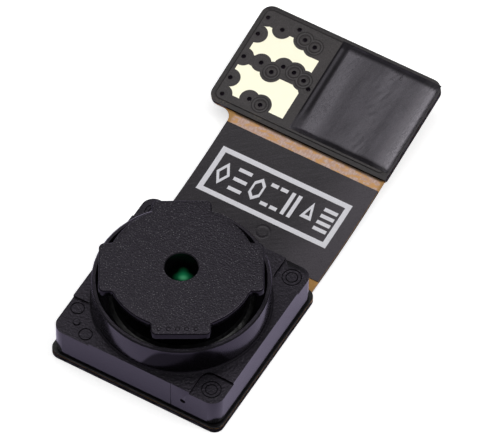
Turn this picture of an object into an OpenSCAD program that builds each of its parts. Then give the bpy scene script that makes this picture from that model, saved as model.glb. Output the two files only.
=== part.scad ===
// Fixed-focus camera module on a rigid-flex tail with a board-to-board plug.
// Units are millimetres. The origin is on the optical axis at the underside of
// the sensor board, +Z is the way the lens looks and +Y is the way the tail runs.

/* [Holder] */
// Width of the square holder, across the tail
body_w = 6.55; // [6.3:0.05:7.5]
// Length of the square holder, along the tail
body_l = 6.5; // [6.4:0.05:7.5]
// Place of the holder's centre from the optical axis, along the tail
body_y = 0.055; // [0:0.005:0.1]
// Radius of the holder's four upright corners
body_corner_r = 0.45; // [0.3:0.05:0.8]
// Height of the square part of the holder
base_h = 1.24; // [1.2:0.02:1.6]
// Thickness of the holder's side walls
base_wall = 0.6; // [0.4:0.05:0.7]
// Outer radius of the round collar
collar_r = 3.06; // [2.95:0.01:3.08]
// Height of the collar above the square part
collar_h = 1.21; // [0.9:0.01:1.5]
// Wall of the collar at its rim
collar_wall = 0.19; // [0.14:0.01:0.3]
// Bevel on the outer and inner edge of the collar's rim
rim_bevel = 0.05; // [0.02:0.01:0.06]
// Fillet where the collar meets the square part
foot_fillet = 0.04; // [0.02:0.01:0.08]
// Depth of the annular well between collar and barrel
well_depth = 0.87; // [0.5:0.01:1.0]
// Height of the cavity over the sensor, up to the roof
cavity_h = 0.49; // [0.44:0.01:0.55]
// Corner radius of the cavity over the sensor
cavity_r = 0.2; // [0.1:0.05:0.4]
// Thickness of the roof that carries the infrared filter
roof_t = 0.34; // [0.3:0.01:0.4]
// Side of the lowered square at three of the holder's corners
pocket_side = 1.1; // [0.9:0.05:1.15]
// Side of the lowered square at the corner with the moulding gate
gate_pocket_side = 1.5; // [1.2:0.05:1.6]
// Depth of the lowered squares
pocket_depth = 0.11; // [0.05:0.01:0.15]
// Inner corner radius of the lowered squares
pocket_r = 0.35; // [0.1:0.05:0.4]
// Radius of the ejector pin marks in the lowered squares
ejector_r = 0.35; // [0.26:0.01:0.4]
// Radius of the inner line of an ejector pin mark
ejector_line_r = 0.22; // [0.1:0.01:0.25]
// Radius of the two small pin marks beside the gate
gate_pin_r = 0.25; // [0.1:0.01:0.28]
// Place of the near one of those marks, from the two outer faces of the corner
gate_pin_near = 0.37; // [0.35:0.01:0.4]
// Place of the far one of those marks, from the two outer faces of the corner
gate_pin_far = 1.16; // [1:0.02:1.2]
// Depth of the pin marks' grooves
mark_depth = 0.04; // [0.01:0.005:0.05]
// Width of the pin marks' grooves
mark_groove = 0.04; // [0.02:0.005:0.05]
// Radius of the stub left where the moulding gate was cut off
gate_stub_r = 0.13; // [0.08:0.01:0.16]
// Height of the gate stub
gate_stub_h = 0.04; // [0.02:0.005:0.06]
// Place of the gate stub from the two outer faces of the corner
gate_stub_in = 0.64; // [0.58:0.02:0.7]
// Distance of the mould parting groove from the optical axis
parting_x = 1.45; // [1:0.05:2]
// Width and depth of the parting groove
parting_groove = 0.03; // [0.02:0.005:0.04]
// Radius of the sink mark on the front wall
sink_r = 0.1; // [0.05:0.01:0.12]
// Place of the sink mark from the parting groove
sink_x = 0.47; // [0.4:0.01:0.6]
// Height of the sink mark over the holder's underside
sink_z = 0.55; // [0.3:0.05:0.8]

/* [Barrel] */
// Radius of the barrel's round cap between its grip tabs
cap_r = 2.55; // [2.4:0.01:2.6]
// Reach of the grip tabs from the optical axis
tab_reach = 2.8; // [2.65:0.01:2.85]
// Width of each grip tab
tab_w = 2.04; // [1.6:0.02:2.2]
// Corner radius of the grip tabs, seen from above
tab_corner_r = 0.2; // [0.1:0.01:0.3]
// Thickness of the cap and its tabs
cap_t = 0.46; // [0.3:0.01:0.6]
// Height of the cap's underside above the collar's rim
cap_lift = 0.23; // [0.05:0.01:0.5]
// Rounding of the cap's upper edge
cap_edge_r = 0.07; // [0.03:0.01:0.1]
// Angle that the grip tabs are screwed round to
tab_turn = 30.3; // [0:0.1:90]
// Number of small domes on the front tab
dots = 5; // [0:1:6]
// Spacing of the domes
dot_pitch = 0.31; // [0.25:0.01:0.33]
// Sphere radius of a dome
dot_r = 0.08; // [0.06:0.01:0.1]
// Height of a dome over the cap
dot_h = 0.035; // [0.02:0.005:0.05]
// Offset of the row along the tab
dot_x = -0.12; // [-0.15:0.01:0.1]
// Distance of the row from the tab's end
dot_edge = 0.22; // [0.16:0.01:0.3]
// Radius of the threaded body of the barrel
barrel_r = 2.3; // [2.25:0.01:2.4]
// Gap between the barrel and the bore that it screws into
thread_gap = 0.04; // [0.02:0.005:0.08]
// Gap between the barrel's lower end and the holder's roof
focus_gap = 0.1; // [0.05:0.01:0.15]
// Width and height of the adhesive fillet that locks the focus
glue_fillet = 0.22; // [0.12:0.01:0.3]
// Radius of the aperture in the cap
aperture_r = 0.57; // [0.4:0.01:0.65]
// Length of the straight part of the aperture
aperture_depth = 0.66; // [0.5:0.01:0.7]
// Bevel on the aperture's upper edge
aperture_bevel = 0.03; // [0.01:0.005:0.05]

/* [Lens stack] */
// Radius of the front lens
front_lens_r = 1.27; // [1.1:0.01:1.35]
// Radius of the middle lens
middle_lens_r = 1.55; // [1.45:0.01:1.6]
// Radius of the rear lens
rear_lens_r = 1.85; // [1.7:0.01:1.9]
// Edge thickness of the front lens
front_edge_t = 0.33; // [0.28:0.01:0.4]
// Edge thickness of the middle lens
middle_edge_t = 0.32; // [0.28:0.01:0.36]
// Edge thickness of the rear lens
rear_edge_t = 0.38; // [0.34:0.01:0.42]
// Height of the front lens's dome over its flange
front_dome_h = 0.19; // [0.12:0.01:0.2]
// Radius of the clear optical zone of the front lens
front_zone_r = 0.72; // [0.62:0.01:0.8]
// Radius of the clear optical zone of the middle lens
middle_zone_r = 0.95; // [0.85:0.01:1.05]
// Radius of the clear optical zone of the rear lens
rear_zone_r = 1.3; // [1.2:0.01:1.4]
// Thickness of the black blanking rings between the lenses
stop_t = 0.03; // [0.02:0.005:0.05]
// Thickness of the retaining ring behind the rear lens
retainer_t = 0.2; // [0.15:0.01:0.22]
// Width of the retaining ring
retainer_w = 0.45; // [0.3:0.01:0.5]
// Gap round each lens in the barrel
lens_gap = 0.02; // [0.01:0.005:0.04]
// Clearance between the front lens and the cone above it
cone_gap = 0.06; // [0.04:0.01:0.1]

/* [Filter and sensor] */
// Width of the infrared filter, across the tail
filter_w = 4.3; // [4:0.05:4.6]
// Length of the infrared filter, along the tail
filter_l = 3.5; // [3.2:0.05:3.8]
// Thickness of the infrared filter
filter_t = 0.21; // [0.15:0.01:0.22]
// Width of the glue bead round the filter
filter_glue_w = 0.1; // [0.06:0.01:0.15]
// Width of the ledge that the filter sits against
filter_ledge = 0.35; // [0.2:0.01:0.5]
// Clearance between the bond wires' outer ends and the holder's wall
wire_room = 0.3; // [0.2:0.01:0.4]
// Length of the sensor die, along the tail
die_l = 3.8; // [3.4:0.05:4]
// Thickness of the sensor die
die_t = 0.2; // [0.15:0.01:0.25]
// Thickness of the die-attach film
attach_t = 0.02; // [0.01:0.005:0.03]
// Thickness and width of a bond wire
wire_t = 0.03; // [0.02:0.005:0.04]
// Number of bond wires on each side of the die
wires_per_side = 13; // [4:1:16]
// Spacing of the bond wires
wire_pitch = 0.26; // [0.2:0.01:0.26]
// Inset of the wire bonds from the die's edge
wire_inset = 0.1; // [0.06:0.01:0.15]
// Reach of the wires beyond the die's edge
wire_reach = 0.25; // [0.2:0.01:0.3]
// Rise of the wire loop's centre above the board
loop_rise = 0.08; // [0.05:0.01:0.12]
// Length of a chip capacitor
cap_chip_l = 0.6; // [0.5:0.02:0.7]
// Width and height of a chip capacitor
cap_chip_w = 0.3; // [0.2:0.01:0.32]
// Length of each metal end of a chip capacitor
cap_end_l = 0.14; // [0.1:0.01:0.18]
// Number of chip capacitors beside the die
cap_chips = 3; // [1:1:4]
// Spacing of the chip capacitors
cap_chip_pitch = 1.3; // [0.9:0.05:1.3]

/* [Rigid-flex board] */
// Ledge of the sensor board outside the holder
board_ledge = 0.08; // [0.04:0.01:0.12]
// Corner radius of the sensor board
board_corner_r = 0.35; // [0.2:0.05:0.6]
// Thickness of the rigid laminate under the flex core
lower_t = 0.14; // [0.1:0.01:0.16]
// Thickness of the polyimide and copper core
core_t = 0.08; // [0.06:0.01:0.1]
// Thickness of the rigid laminate over the core at the sensor
upper_t = 0.06; // [0.04:0.01:0.08]
// Height of the glue bead that carries the holder
bead_t = 0.09; // [0.07:0.01:0.12]
// Inset of the glue bead from the holder's outer face
bead_inset = 0.12; // [0.05:0.01:0.2]
// Thickness of the black cover film on each face of the tail
film_t = 0.04; // [0.03:0.005:0.05]
// Inset of the cover film from the tail's edges
film_inset = 0.01; // [0.005:0.005:0.06]
// Left edge of the tail from the optical axis
tail_left = 2.9; // [2.6:0.02:3]
// Right edge of the tail from the optical axis
tail_right = 3.16; // [3:0.02:3.18]
// Length of the bent part of the tail
tail_bend_l = 4.6; // [4.2:0.05:6]
// Angle that the tail rises through
tail_rise = 10; // [6:0.5:11]
// Length of bare core between the film and the end board
bare_strip = 0.44; // [0.3:0.02:0.5]
// Depth etched off each face of the core along the bare strip
strip_etch = 0.004; // [0.002:0.001:0.01]
// Length of bare core between the sensor board and the upper film
film_start = 0.44; // [0.1:0.02:0.6]
// Radius of the fillet where tail and end board meet
root_r = 0.42; // [0.2:0.01:0.45]

/* [End board] */
// Left edge of the end board from the optical axis
end_left = 3.96; // [3.9:0.02:4.2]
// Right edge of the end board from the optical axis
end_right = 3.18; // [3.18:0.02:3.6]
// Length of the end board
end_l = 4.25; // [4.2:0.05:5]
// Corner radius of the end board
end_corner_r = 0.4; // [0.2:0.02:0.5]
// Thickness of the end board's upper laminate
end_upper_t = 0.1; // [0.08:0.01:0.14]
// Thickness of the end board's lower laminate
end_lower_t = 0.1; // [0.08:0.01:0.12]
// Set-back of the lower laminate's near edge
lower_setback = 0.1; // [0:0.01:0.1]
// Thickness of the solder mask
mask_t = 0.025; // [0.015:0.005:0.03]
// Thickness of the gold ground pads
pad_t = 0.015; // [0.01:0.005:0.015]
// Inset of the raised copper area from the board's edge
rim_inset = 0.17; // [0.1:0.01:0.2]
// Height of the step at the edge of the copper area
rim_step = 0.01; // [0.005:0.005:0.012]
// Drill radius of the vias
via_r = 0.12; // [0.1:0.01:0.13]
// Wall of the plated via barrels
via_wall = 0.035; // [0.02:0.005:0.04]
// Mask radius round a plain via
via_web_r = 0.36; // [0.3:0.01:0.38]
// Mask radius round a ringed via
ring_web_r = 0.41; // [0.36:0.01:0.43]
// Outer radius of the groove round a ringed via
ring_groove_r = 0.24; // [0.2:0.01:0.26]
// Width of the groove round a ringed via
ring_groove_w = 0.05; // [0.03:0.01:0.06]

/* [Stiffener patch] */
// Left edge of the stiffener patch from the optical axis
patch_left = 0.8; // [0.7:0.02:0.82]
// Inset of the patch from the board's right edge
patch_right_inset = 0.06; // [0.04:0.01:0.2]
// Inset of the patch from the board's near edge
patch_near_inset = 0.28; // [0.2:0.02:0.5]
// Inset of the patch from the board's far edge
patch_far_inset = 0.12; // [0.1:0.01:0.3]
// Corner radius of the patch
patch_r = 0.12; // [0.08:0.01:0.2]
// Thickness of the stiffener plate under the patch
plate_t = 0.15; // [0.1:0.01:0.2]
// Width of the sloping skirt of the patch
skirt_w = 0.4; // [0.25:0.01:0.44]
// Thickness of the foil over the plate
foil_t = 0.05; // [0.03:0.01:0.06]

/* [Plug] */
// Length of the plug, along the tail
plug_l = 3.8; // [3.5:0.05:3.8]
// Width of the plug, across the tail
plug_w = 2.1; // [1.8:0.05:2.3]
// Height of the plug under the board
plug_h = 0.55; // [0.5:0.01:0.58]
// Place of the plug's centre line from the optical axis
plug_x = 1.2; // [0.8:0.05:1.6]
// Wall of the plug that its contacts wrap round
plug_wall = 0.4; // [0.3:0.01:0.5]
// Thickness of the plug's base
plug_base_t = 0.17; // [0.12:0.01:0.2]
// Number of contacts in each row
contacts_per_row = 9; // [4:1:9]
// Spacing of the contacts
contact_pitch = 0.35; // [0.3:0.01:0.35]
// Width of a contact
contact_w = 0.14; // [0.1:0.01:0.18]
// Thickness of the contact strip
contact_t = 0.06; // [0.04:0.01:0.07]
// Length of a contact's solder foot
foot_l = 0.3; // [0.15:0.01:0.4]
// Width of the metal hold-down at each end of the plug
nail_w = 1.1; // [0.8:0.05:1.3]
// Length of the hold-down's solder foot
nail_foot_l = 0.14; // [0.1:0.01:0.16]

/* [Print] */
// Width of the printed frame, outside
frame_w = 5.16; // [4.5:0.02:5.3]
// Height of the printed frame, outside
frame_h = 1.92; // [1.6:0.02:2]
// Place of the frame's centre line from the optical axis
frame_x = 0.09; // [-0.1:0.01:0.2]
// Distance of the frame's centre from the sensor board
frame_y = 2.7; // [2.5:0.02:3]
// Line width of the frame
frame_line = 0.19; // [0.12:0.01:0.22]
// Line width of the marks in the frame
mark_line = 0.14; // [0.08:0.01:0.16]
// Height of the marks
mark_h = 0.95; // [0.7:0.01:1.1]
// Width of the marks
mark_w = 0.52; // [0.4:0.01:0.56]
// Spacing of the marks
mark_pitch = 0.68; // [0.6:0.01:0.68]
// Thickness of the print
print_t = 0.012; // [0.01:0.001:0.02]

/* [Hidden] */

round_fn = 96;
fine_fn = 32;
tiny = 0.001;
strip_lap = 0.03;
glue_fill = 0.7;
cone_h = 0.12;
filter_lift = 0.01;
cap_chip_step = 0.01;
tail_fn = 180;
patch_fn = 24;

// Heights of the body, from the underside up
core_z = lower_t;
core_top = core_z + core_t;
board_top = core_top + upper_t;
holder_z = board_top + bead_t;
base_top = holder_z + base_h;
pocket_z = base_top - pocket_depth;
collar_top = base_top + collar_h;
cap_z = collar_top + cap_lift;
cap_top = cap_z + cap_t;
well_z = collar_top - well_depth;
roof_z = holder_z + cavity_h;
roof_top = roof_z + roof_t;
barrel_z = roof_top + focus_gap;
bore_r = barrel_r + thread_gap;
well_r = collar_r - collar_wall;

// Heights of the lens stack, from the cap down
cone_z = cap_top - aperture_depth;
seat_z = cone_z - cone_h;
front_z = seat_z - front_edge_t;
front_stop_z = front_z - stop_t;
middle_z = front_stop_z - middle_edge_t;
middle_stop_z = middle_z - stop_t;
rear_z = middle_stop_z - rear_edge_t;
retainer_z = rear_z - retainer_t;

// Places of the filter and the sensor
filter_z = roof_z + filter_lift;
filter_seat_z = filter_z + filter_t;
die_w = body_w - 2 * (base_wall + wire_room + wire_reach);
die_z = board_top + attach_t;
die_top = die_z + die_t;

// Rigid board outline
board_w = body_w + 2 * board_ledge;
board_l = body_l + 2 * board_ledge;
board_edge = body_y + board_l / 2;
tail_w = tail_left + tail_right;

// The bend of the tail: an arc whose centre lies over the holder's far edge
bend_r = tail_bend_l * 180 / (PI * tail_rise);
bend_z = core_top + bend_r;

// End board frame: origin on the core's underside where the bend ends
end_y = board_edge + (bend_r + core_t) * sin(tail_rise);
end_z = bend_z - (bend_r + core_t) * cos(tail_rise);
end_w = end_left + end_right;
end_h = core_t + end_upper_t;
copper_h = end_h + rim_step;
mask_h = end_h + mask_t;

// Via places on the end board: distance from the axis and from its near edge
plain_vias = [
    [-3.63, 3.74], [-3.63, 3.02], [-2.94, 3.54], [-2.4, 3.82], [-3.62, 2.01],
    [-2.95, 2.07], [-2.18, 2.28], [-0.96, 1.9], [-3.62, 1.07], [-3.55, 0.38], [-2.6, 0.63]
];
ringed_vias = [
    [-2.03, 3.55], [-1.58, 3.45], [-2.45, 1.91], [-1.73, 2.25], [-1.27, 2.12], [-2.15, 0.6]
];

// Outlines of the two ground pads before the vias bite into them
far_pad = [[-3.6, 2.21], [-1.18, 2.21], [-1.18, 3.05], [-1.5, 3.05], [-1.5, 3.45], [-3.6, 3.45]];
near_pad = [[-3.65, 0.48], [-1.18, 0.48], [-1.18, 1.81], [-3.65, 1.81]];

// Raised patch over the stiffener, in the end board's frame
patch_x0 = -patch_left;
patch_x1 = end_right - patch_right_inset;
patch_y0 = bare_strip + patch_near_inset;
patch_y1 = bare_strip + end_l - patch_far_inset;
plug_y = bare_strip + (lower_setback + end_l) / 2;

// ---- Shared outlines and placing ----

// Rectangle between two corners with all its corners rounded
module round_box(x0, x1, y0, y1, r) {
    translate([x0 + r, y0]) square([x1 - x0 - 2 * r, y1 - y0]);
    translate([x0, y0 + r]) square([x1 - x0, y1 - y0 - 2 * r]);
    for (x = [x0 + r, x1 - r], y = [y0 + r, y1 - r])
        translate([x, y]) circle(r, $fn = round_fn);
}

// Rounded rectangle centred on the origin
module round_rect(w, l, r) {
    round_box(-w / 2, w / 2, -l / 2, l / 2, r);
}

// Holder's outline drawn in by an inset
module body_outline(inset, r) {
    translate([0, body_y]) round_rect(body_w - 2 * inset, body_l - 2 * inset, r);
}

// Sensor board's outline
module board_outline() {
    translate([0, body_y]) round_rect(board_w, board_l, board_corner_r);
}

// Ring between two radii, standing on the XY plane
module ring(r_out, r_in, h) {
    difference() {
        cylinder(r = r_out, h = h, $fn = round_fn);
        translate([0, 0, -tiny]) cylinder(r = r_in, h = h + 2 * tiny, $fn = round_fn);
    }
}

// Part of a sheet that follows the tail's bend: r_in is its upper face's radius
module bent_sheet(x0, x1, r_in, t) {
    translate([0, board_edge, bend_z])
        rotate([90, 0, 90])
            rotate([0, 0, -90])
                rotate_extrude(angle = tail_rise, $fn = tail_fn)
                    translate([r_in, x0]) square([t, x1 - x0]);
}

// Puts its children in the end board's frame, on the core's underside
module on_end() {
    translate([0, end_y, end_z]) rotate([tail_rise, 0, 0]) children();
}

// Outline of the end board: three round corners, and one square beside the tail
module end_outline(inset, setback = 0) {
    y0 = bare_strip + inset + setback;
    y1 = bare_strip + end_l - inset;
    r = end_corner_r - inset;
    round_box(-end_left + inset, end_right - inset, y0, y1, r);
    translate([end_right - inset - r, y0]) square([r, r]);
}

// Points of one lens face from the axis out to the edge of its clear zone
function face_points(zone, z, rise, n = 10) =
    [for (i = [0 : n]) [zone * i / n, z + rise * (1 - pow(i / n, 2))]];

// Points of a gull-wing face: level at the axis and the edge, hollow between
function wing_points(zone, z, hollow, n = 14) =
    [for (i = [0 : n]) [zone * i / n, z + hollow * pow(sin(180 * i / n), 2)]];

// Turned lens from its upper face, its flange radius and its lower face
module turned_lens(upper, flange_r, z_top, z_low, lower) {
    lower_back = [for (i = [len(lower) - 1 : -1 : 0]) lower[i]];
    rotate_extrude($fn = round_fn)
        polygon(concat(upper, [[flange_r, z_top], [flange_r, z_low]], lower_back));
}

// ---- Holder ----

// Lowered square in the corner (sx, sy), kept clear of the collar
module corner_pocket(sx, sy, side) {
    cx = sx * (body_w / 2 - side);
    cy = body_y + sy * (body_l / 2 - side);
    far = side + pocket_side;
    translate([0, 0, pocket_z])
        linear_extrude(pocket_depth + foot_fillet + tiny)
            difference() {
                translate([cx, cy])
                    scale([sx, sy]) round_box(0, far, 0, far, pocket_r);
                circle(collar_r, $fn = round_fn);
            }
}

// Round groove left by a pin in the floor of the corner (sx, sy)
module pin_mark(sx, sy, in_x, in_y, r) {
    x = sx * (body_w / 2 - in_x);
    y = body_y + sy * (body_l / 2 - in_y);
    translate([x, y, pocket_z - mark_depth])
        ring(r, r - mark_groove, mark_depth + tiny);
}

// Outside of the collar: bevelled rim above, fillet below
module collar_profile() {
    polygon([
        [0, pocket_z],
        [collar_r, pocket_z],
        [collar_r, collar_top - rim_bevel],
        [collar_r - rim_bevel, collar_top],
        [0, collar_top]
    ]);
    difference() {
        translate([collar_r, base_top]) square(foot_fillet);
        translate([collar_r + foot_fillet, base_top + foot_fillet])
            circle(foot_fillet, $fn = fine_fn);
    }
}

// Everything bored or hollowed out of the holder, from the underside up
module holder_hollow() {
    translate([0, 0, holder_z - tiny])
        linear_extrude(cavity_h + tiny)
            body_outline(base_wall, cavity_r);
    translate([0, 0, roof_z - tiny])
        linear_extrude(filter_seat_z - roof_z + tiny)
            square([filter_w + 2 * filter_glue_w, filter_l + 2 * filter_glue_w], center = true);
    translate([0, 0, filter_seat_z - tiny])
        linear_extrude(roof_top - filter_seat_z + 2 * tiny)
            square([filter_w - 2 * filter_ledge, filter_l - 2 * filter_ledge], center = true);
    translate([0, 0, roof_top])
        cylinder(r = bore_r, h = collar_top - roof_top, $fn = round_fn);
    translate([0, 0, well_z])
        cylinder(r = well_r, h = collar_h + 1, $fn = round_fn);
    translate([0, 0, collar_top - rim_bevel])
        cylinder(r1 = well_r, r2 = well_r + rim_bevel, h = rim_bevel + tiny, $fn = round_fn);
}

// Groove and sink mark that the mould left on the front wall
module front_marks() {
    translate([parting_x, body_y - body_l / 2, holder_z + base_h / 2])
        cube([parting_groove, parting_groove, base_h + 1], center = true);
    translate([parting_x + sink_x, body_y - body_l / 2, holder_z + sink_z])
        rotate([90, 0, 0])
            cylinder(r = sink_r, h = sink_r, center = true, $fn = fine_fn);
}

module lens_holder() {
    mid = pocket_side / 2;
    color("#2b2b2f") {
        difference() {
            union() {
                translate([0, 0, holder_z])
                    linear_extrude(base_h) body_outline(0, body_corner_r);
                rotate_extrude($fn = round_fn) collar_profile();
            }
            holder_hollow();
            corner_pocket(1, 1, pocket_side);
            corner_pocket(-1, 1, pocket_side);
            corner_pocket(1, -1, pocket_side);
            corner_pocket(-1, -1, gate_pocket_side);
            for (c = [[1, 1], [-1, 1], [1, -1]], r = [ejector_r, ejector_line_r])
                pin_mark(c[0], c[1], mid, mid, r);
            pin_mark(-1, -1, gate_pin_near, gate_pin_far, gate_pin_r);
            pin_mark(-1, -1, gate_pin_far, gate_pin_near, gate_pin_r);
            front_marks();
        }
        translate([gate_stub_in - body_w / 2, body_y + gate_stub_in - body_l / 2, pocket_z - tiny])
            cylinder(r = gate_stub_r, h = gate_stub_h, $fn = fine_fn);
    }
}

// ---- Barrel and lens stack ----

// One bar of the cross that carries two grip tabs, with its upper edges rounded
module grip_bar() {
    r = cap_edge_r;
    intersection() {
        linear_extrude(cap_t) round_rect(2 * tab_reach, tab_w, tab_corner_r);
        rotate([90, 0, 0])
            linear_extrude(tab_w, center = true)
                round_box(-tab_reach, tab_reach, -2 * r, cap_t, r);
        rotate([90, 0, 90])
            linear_extrude(2 * tab_reach, center = true)
                round_box(-tab_w / 2, tab_w / 2, -2 * r, cap_t, r);
    }
}

// Row of small domes near the edge of the front tab
module tab_dots() {
    for (i = [0 : dots - 1])
        translate([dot_x + (i - (dots - 1) / 2) * dot_pitch, dot_edge - tab_reach, cap_t + dot_h - dot_r])
            sphere(dot_r, $fn = fine_fn);
}

// Round cap with a rounded upper edge
module round_cap() {
    rotate_extrude($fn = round_fn)
        intersection() {
            round_box(-cap_r, cap_r, -cap_t, cap_t, cap_edge_r);
            square([cap_r, cap_t]);
        }
}

module lens_barrel() {
    color("#2a2a2d")
        difference() {
            union() {
                translate([0, 0, cap_z]) {
                    round_cap();
                    for (a = [tab_turn, tab_turn + 90]) rotate([0, 0, a]) grip_bar();
                    rotate([0, 0, tab_turn]) tab_dots();
                }
                translate([0, 0, barrel_z])
                    cylinder(r = barrel_r, h = cap_z - barrel_z + tiny, $fn = round_fn);
            }
            translate([0, 0, cone_z - tiny])
                cylinder(r = aperture_r, h = aperture_depth + 1, $fn = round_fn);
            translate([0, 0, cap_top - aperture_bevel])
                cylinder(r1 = aperture_r, r2 = aperture_r + aperture_bevel,
                    h = aperture_bevel + tiny, $fn = round_fn);
            translate([0, 0, seat_z - tiny])
                cylinder(r1 = front_zone_r + cone_gap, r2 = aperture_r,
                    h = cone_z - seat_z + tiny, $fn = round_fn);
            translate([0, 0, front_stop_z - tiny])
                cylinder(r = front_lens_r + lens_gap, h = seat_z - front_stop_z + tiny, $fn = round_fn);
            translate([0, 0, middle_stop_z - tiny])
                cylinder(r = middle_lens_r + lens_gap,
                    h = front_stop_z - middle_stop_z + tiny, $fn = round_fn);
            translate([0, 0, barrel_z - tiny])
                cylinder(r = rear_lens_r + lens_gap, h = middle_stop_z - barrel_z + tiny, $fn = round_fn);
        }
}

module front_lens() {
    color("#5c8f78")
        turned_lens(face_points(front_zone_r, seat_z, front_dome_h), front_lens_r, seat_z, front_z,
            face_points(front_zone_r, front_z, front_dome_h / 3));
}

module middle_lens() {
    color("#7fa6a0")
        turned_lens(face_points(middle_zone_r, front_stop_z, -front_dome_h / 2), middle_lens_r,
            front_stop_z, middle_z, face_points(middle_zone_r, middle_z, -front_dome_h / 2));
}

module rear_lens() {
    color("#8fb0ac")
        turned_lens(face_points(rear_zone_r, middle_stop_z, -front_dome_h), rear_lens_r,
            middle_stop_z, rear_z, wing_points(rear_zone_r, rear_z, front_dome_h / 2));
}

module front_stop() {
    color("#111113")
        translate([0, 0, front_stop_z]) ring(front_lens_r, front_zone_r, stop_t);
}

module middle_stop() {
    color("#111113")
        translate([0, 0, middle_stop_z]) ring(middle_lens_r, middle_zone_r, stop_t);
}

module lens_retainer() {
    color("#1c1c1f")
        translate([0, 0, retainer_z])
            ring(rear_lens_r + lens_gap, rear_lens_r - retainer_w, retainer_t);
}

// Adhesive that locks the focus: a fillet on the well's floor against the barrel
module focus_glue() {
    color("#17171a")
        rotate_extrude($fn = round_fn)
            polygon([
                [barrel_r, well_z], [barrel_r + glue_fillet, well_z],
                [barrel_r + glue_fillet / 3, well_z + glue_fillet / 3],
                [barrel_r, well_z + glue_fillet]
            ]);
}

// ---- Filter, sensor and what is bonded beside it ----

module ir_filter() {
    color("#7fb7c9")
        translate([0, 0, filter_z + filter_t / 2])
            cube([filter_w, filter_l, filter_t], center = true);
}

module filter_glue() {
    glue_t = filter_t * glue_fill;
    color("#3a3a3d")
        translate([0, 0, filter_z])
            linear_extrude(glue_t)
                difference() {
                    square([filter_w + 2 * filter_glue_w, filter_l + 2 * filter_glue_w], center = true);
                    square([filter_w, filter_l], center = true);
                }
}

module image_sensor() {
    color("#4a4f63")
        translate([0, 0, die_z + die_t / 2])
            cube([die_w, die_l, die_t], center = true);
}

module die_attach() {
    color("#b9b4a4")
        translate([0, 0, board_top + attach_t / 2])
            cube([die_w, die_l, attach_t], center = true);
}

// Side view of one bond wire: an arc from the die's face down to the board
module wire_profile() {
    x1 = die_w / 2 - wire_inset;
    x2 = die_w / 2 + wire_reach;
    b = board_top + loop_rise;
    a = (x2 * x2 - x1 * x1 + pow(loop_rise, 2) - pow(die_top - b, 2)) / (2 * (x2 - x1));
    r = sqrt(pow(x1 - a, 2) + pow(die_top - b, 2));
    intersection() {
        translate([a, b])
            difference() {
                circle(r + wire_t / 2, $fn = fine_fn);
                circle(r - wire_t / 2, $fn = fine_fn);
            }
        union() {
            translate([x1 - 2 * r, die_top]) square([a - x1 + 2 * r, 2 * r]);
            translate([a, board_top]) square([2 * r, 3 * r]);
        }
    }
}

module bond_wires() {
    first = -(wires_per_side - 1) / 2;
    color("#d8b04a")
        for (side = [0, 1], i = [0 : wires_per_side - 1])
            mirror([side, 0, 0])
                translate([0, (first + i) * wire_pitch + wire_t / 2, 0])
                    rotate([90, 0, 0])
                        linear_extrude(wire_t) wire_profile();
}

module chip_capacitors() {
    y = (die_l / 2 + body_y + body_l / 2 - base_wall) / 2;
    body = cap_chip_w - 2 * cap_chip_step;
    color("#a98c5d")
        for (i = [0 : cap_chips - 1])
            translate([(i - (cap_chips - 1) / 2) * cap_chip_pitch, y, board_top + cap_chip_w / 2]) {
                cube([cap_chip_l, body, body], center = true);
                for (s = [-1, 1])
                    translate([s * (cap_chip_l - cap_end_l) / 2, 0, 0])
                        cube([cap_end_l, cap_chip_w, cap_chip_w], center = true);
            }
}

module holder_glue() {
    color("#19191b")
        translate([0, 0, board_top])
            linear_extrude(bead_t)
                difference() {
                    body_outline(bead_inset, body_corner_r - bead_inset);
                    body_outline(base_wall, cavity_r);
                }
}

// ---- Rigid-flex board ----

module sensor_board_upper() {
    color("#26272a")
        translate([0, 0, core_top])
            linear_extrude(upper_t) board_outline();
}

module sensor_board_lower() {
    color("#242528")
        linear_extrude(lower_t) board_outline();
}

// Bare strip between the films and the end board, with the fillet at its left
module strip_outline() {
    translate([-tail_left, -strip_lap]) square([tail_w, strip_lap + bare_strip + end_corner_r]);
    difference() {
        translate([-tail_left - root_r, bare_strip - root_r]) square([root_r + tiny, root_r + tiny]);
        translate([-tail_left - root_r, bare_strip - root_r]) circle(root_r, $fn = round_fn);
    }
}

module flex_core() {
    color("#c98f45") {
        translate([0, 0, core_z])
            linear_extrude(core_t) {
                board_outline();
                translate([-tail_left, board_edge - 2 * board_corner_r])
                    square([tail_w, 2 * board_corner_r]);
            }
        translate([0, 0, core_z + strip_etch])
            linear_extrude(core_t - 2 * strip_etch)
                translate([-tail_left, board_edge - board_corner_r])
                    square([tail_w, board_corner_r + strip_lap]);
        bent_sheet(-tail_left, tail_right, bend_r, core_t);
        on_end() {
            translate([0, 0, strip_etch]) linear_extrude(core_t - 2 * strip_etch) strip_outline();
            difference() {
                linear_extrude(core_t) end_outline(0);
                via_holes(via_r, -1, 1);
            }
        }
    }
}

module film_upper() {
    color("#2e2e31")
        difference() {
            bent_sheet(film_inset - tail_left, tail_right - film_inset, bend_r - film_t, film_t);
            translate([-tail_left, board_edge - film_start, core_z])
                cube([tail_w, 2 * film_start, 1]);
        }
}

module film_lower() {
    color("#2e2e31")
        bent_sheet(film_inset - tail_left, tail_right - film_inset, bend_r + core_t, film_t);
}

// ---- Print on the tail ----

// Polygon outline of n sides with the marks' height and line width
module mark_loop(n, turn) {
    rotate(turn)
        difference() {
            circle(mark_h / 2, $fn = n);
            circle(mark_h / 2 - mark_line / cos(180 / n), $fn = n);
        }
}

// Bars one above another
module mark_bars(n, w) {
    for (i = [0 : n - 1])
        translate([0, (i - (n - 1) / 2) * (mark_h - mark_line) / (n - 1)])
            square([w, mark_line], center = true);
}

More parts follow.
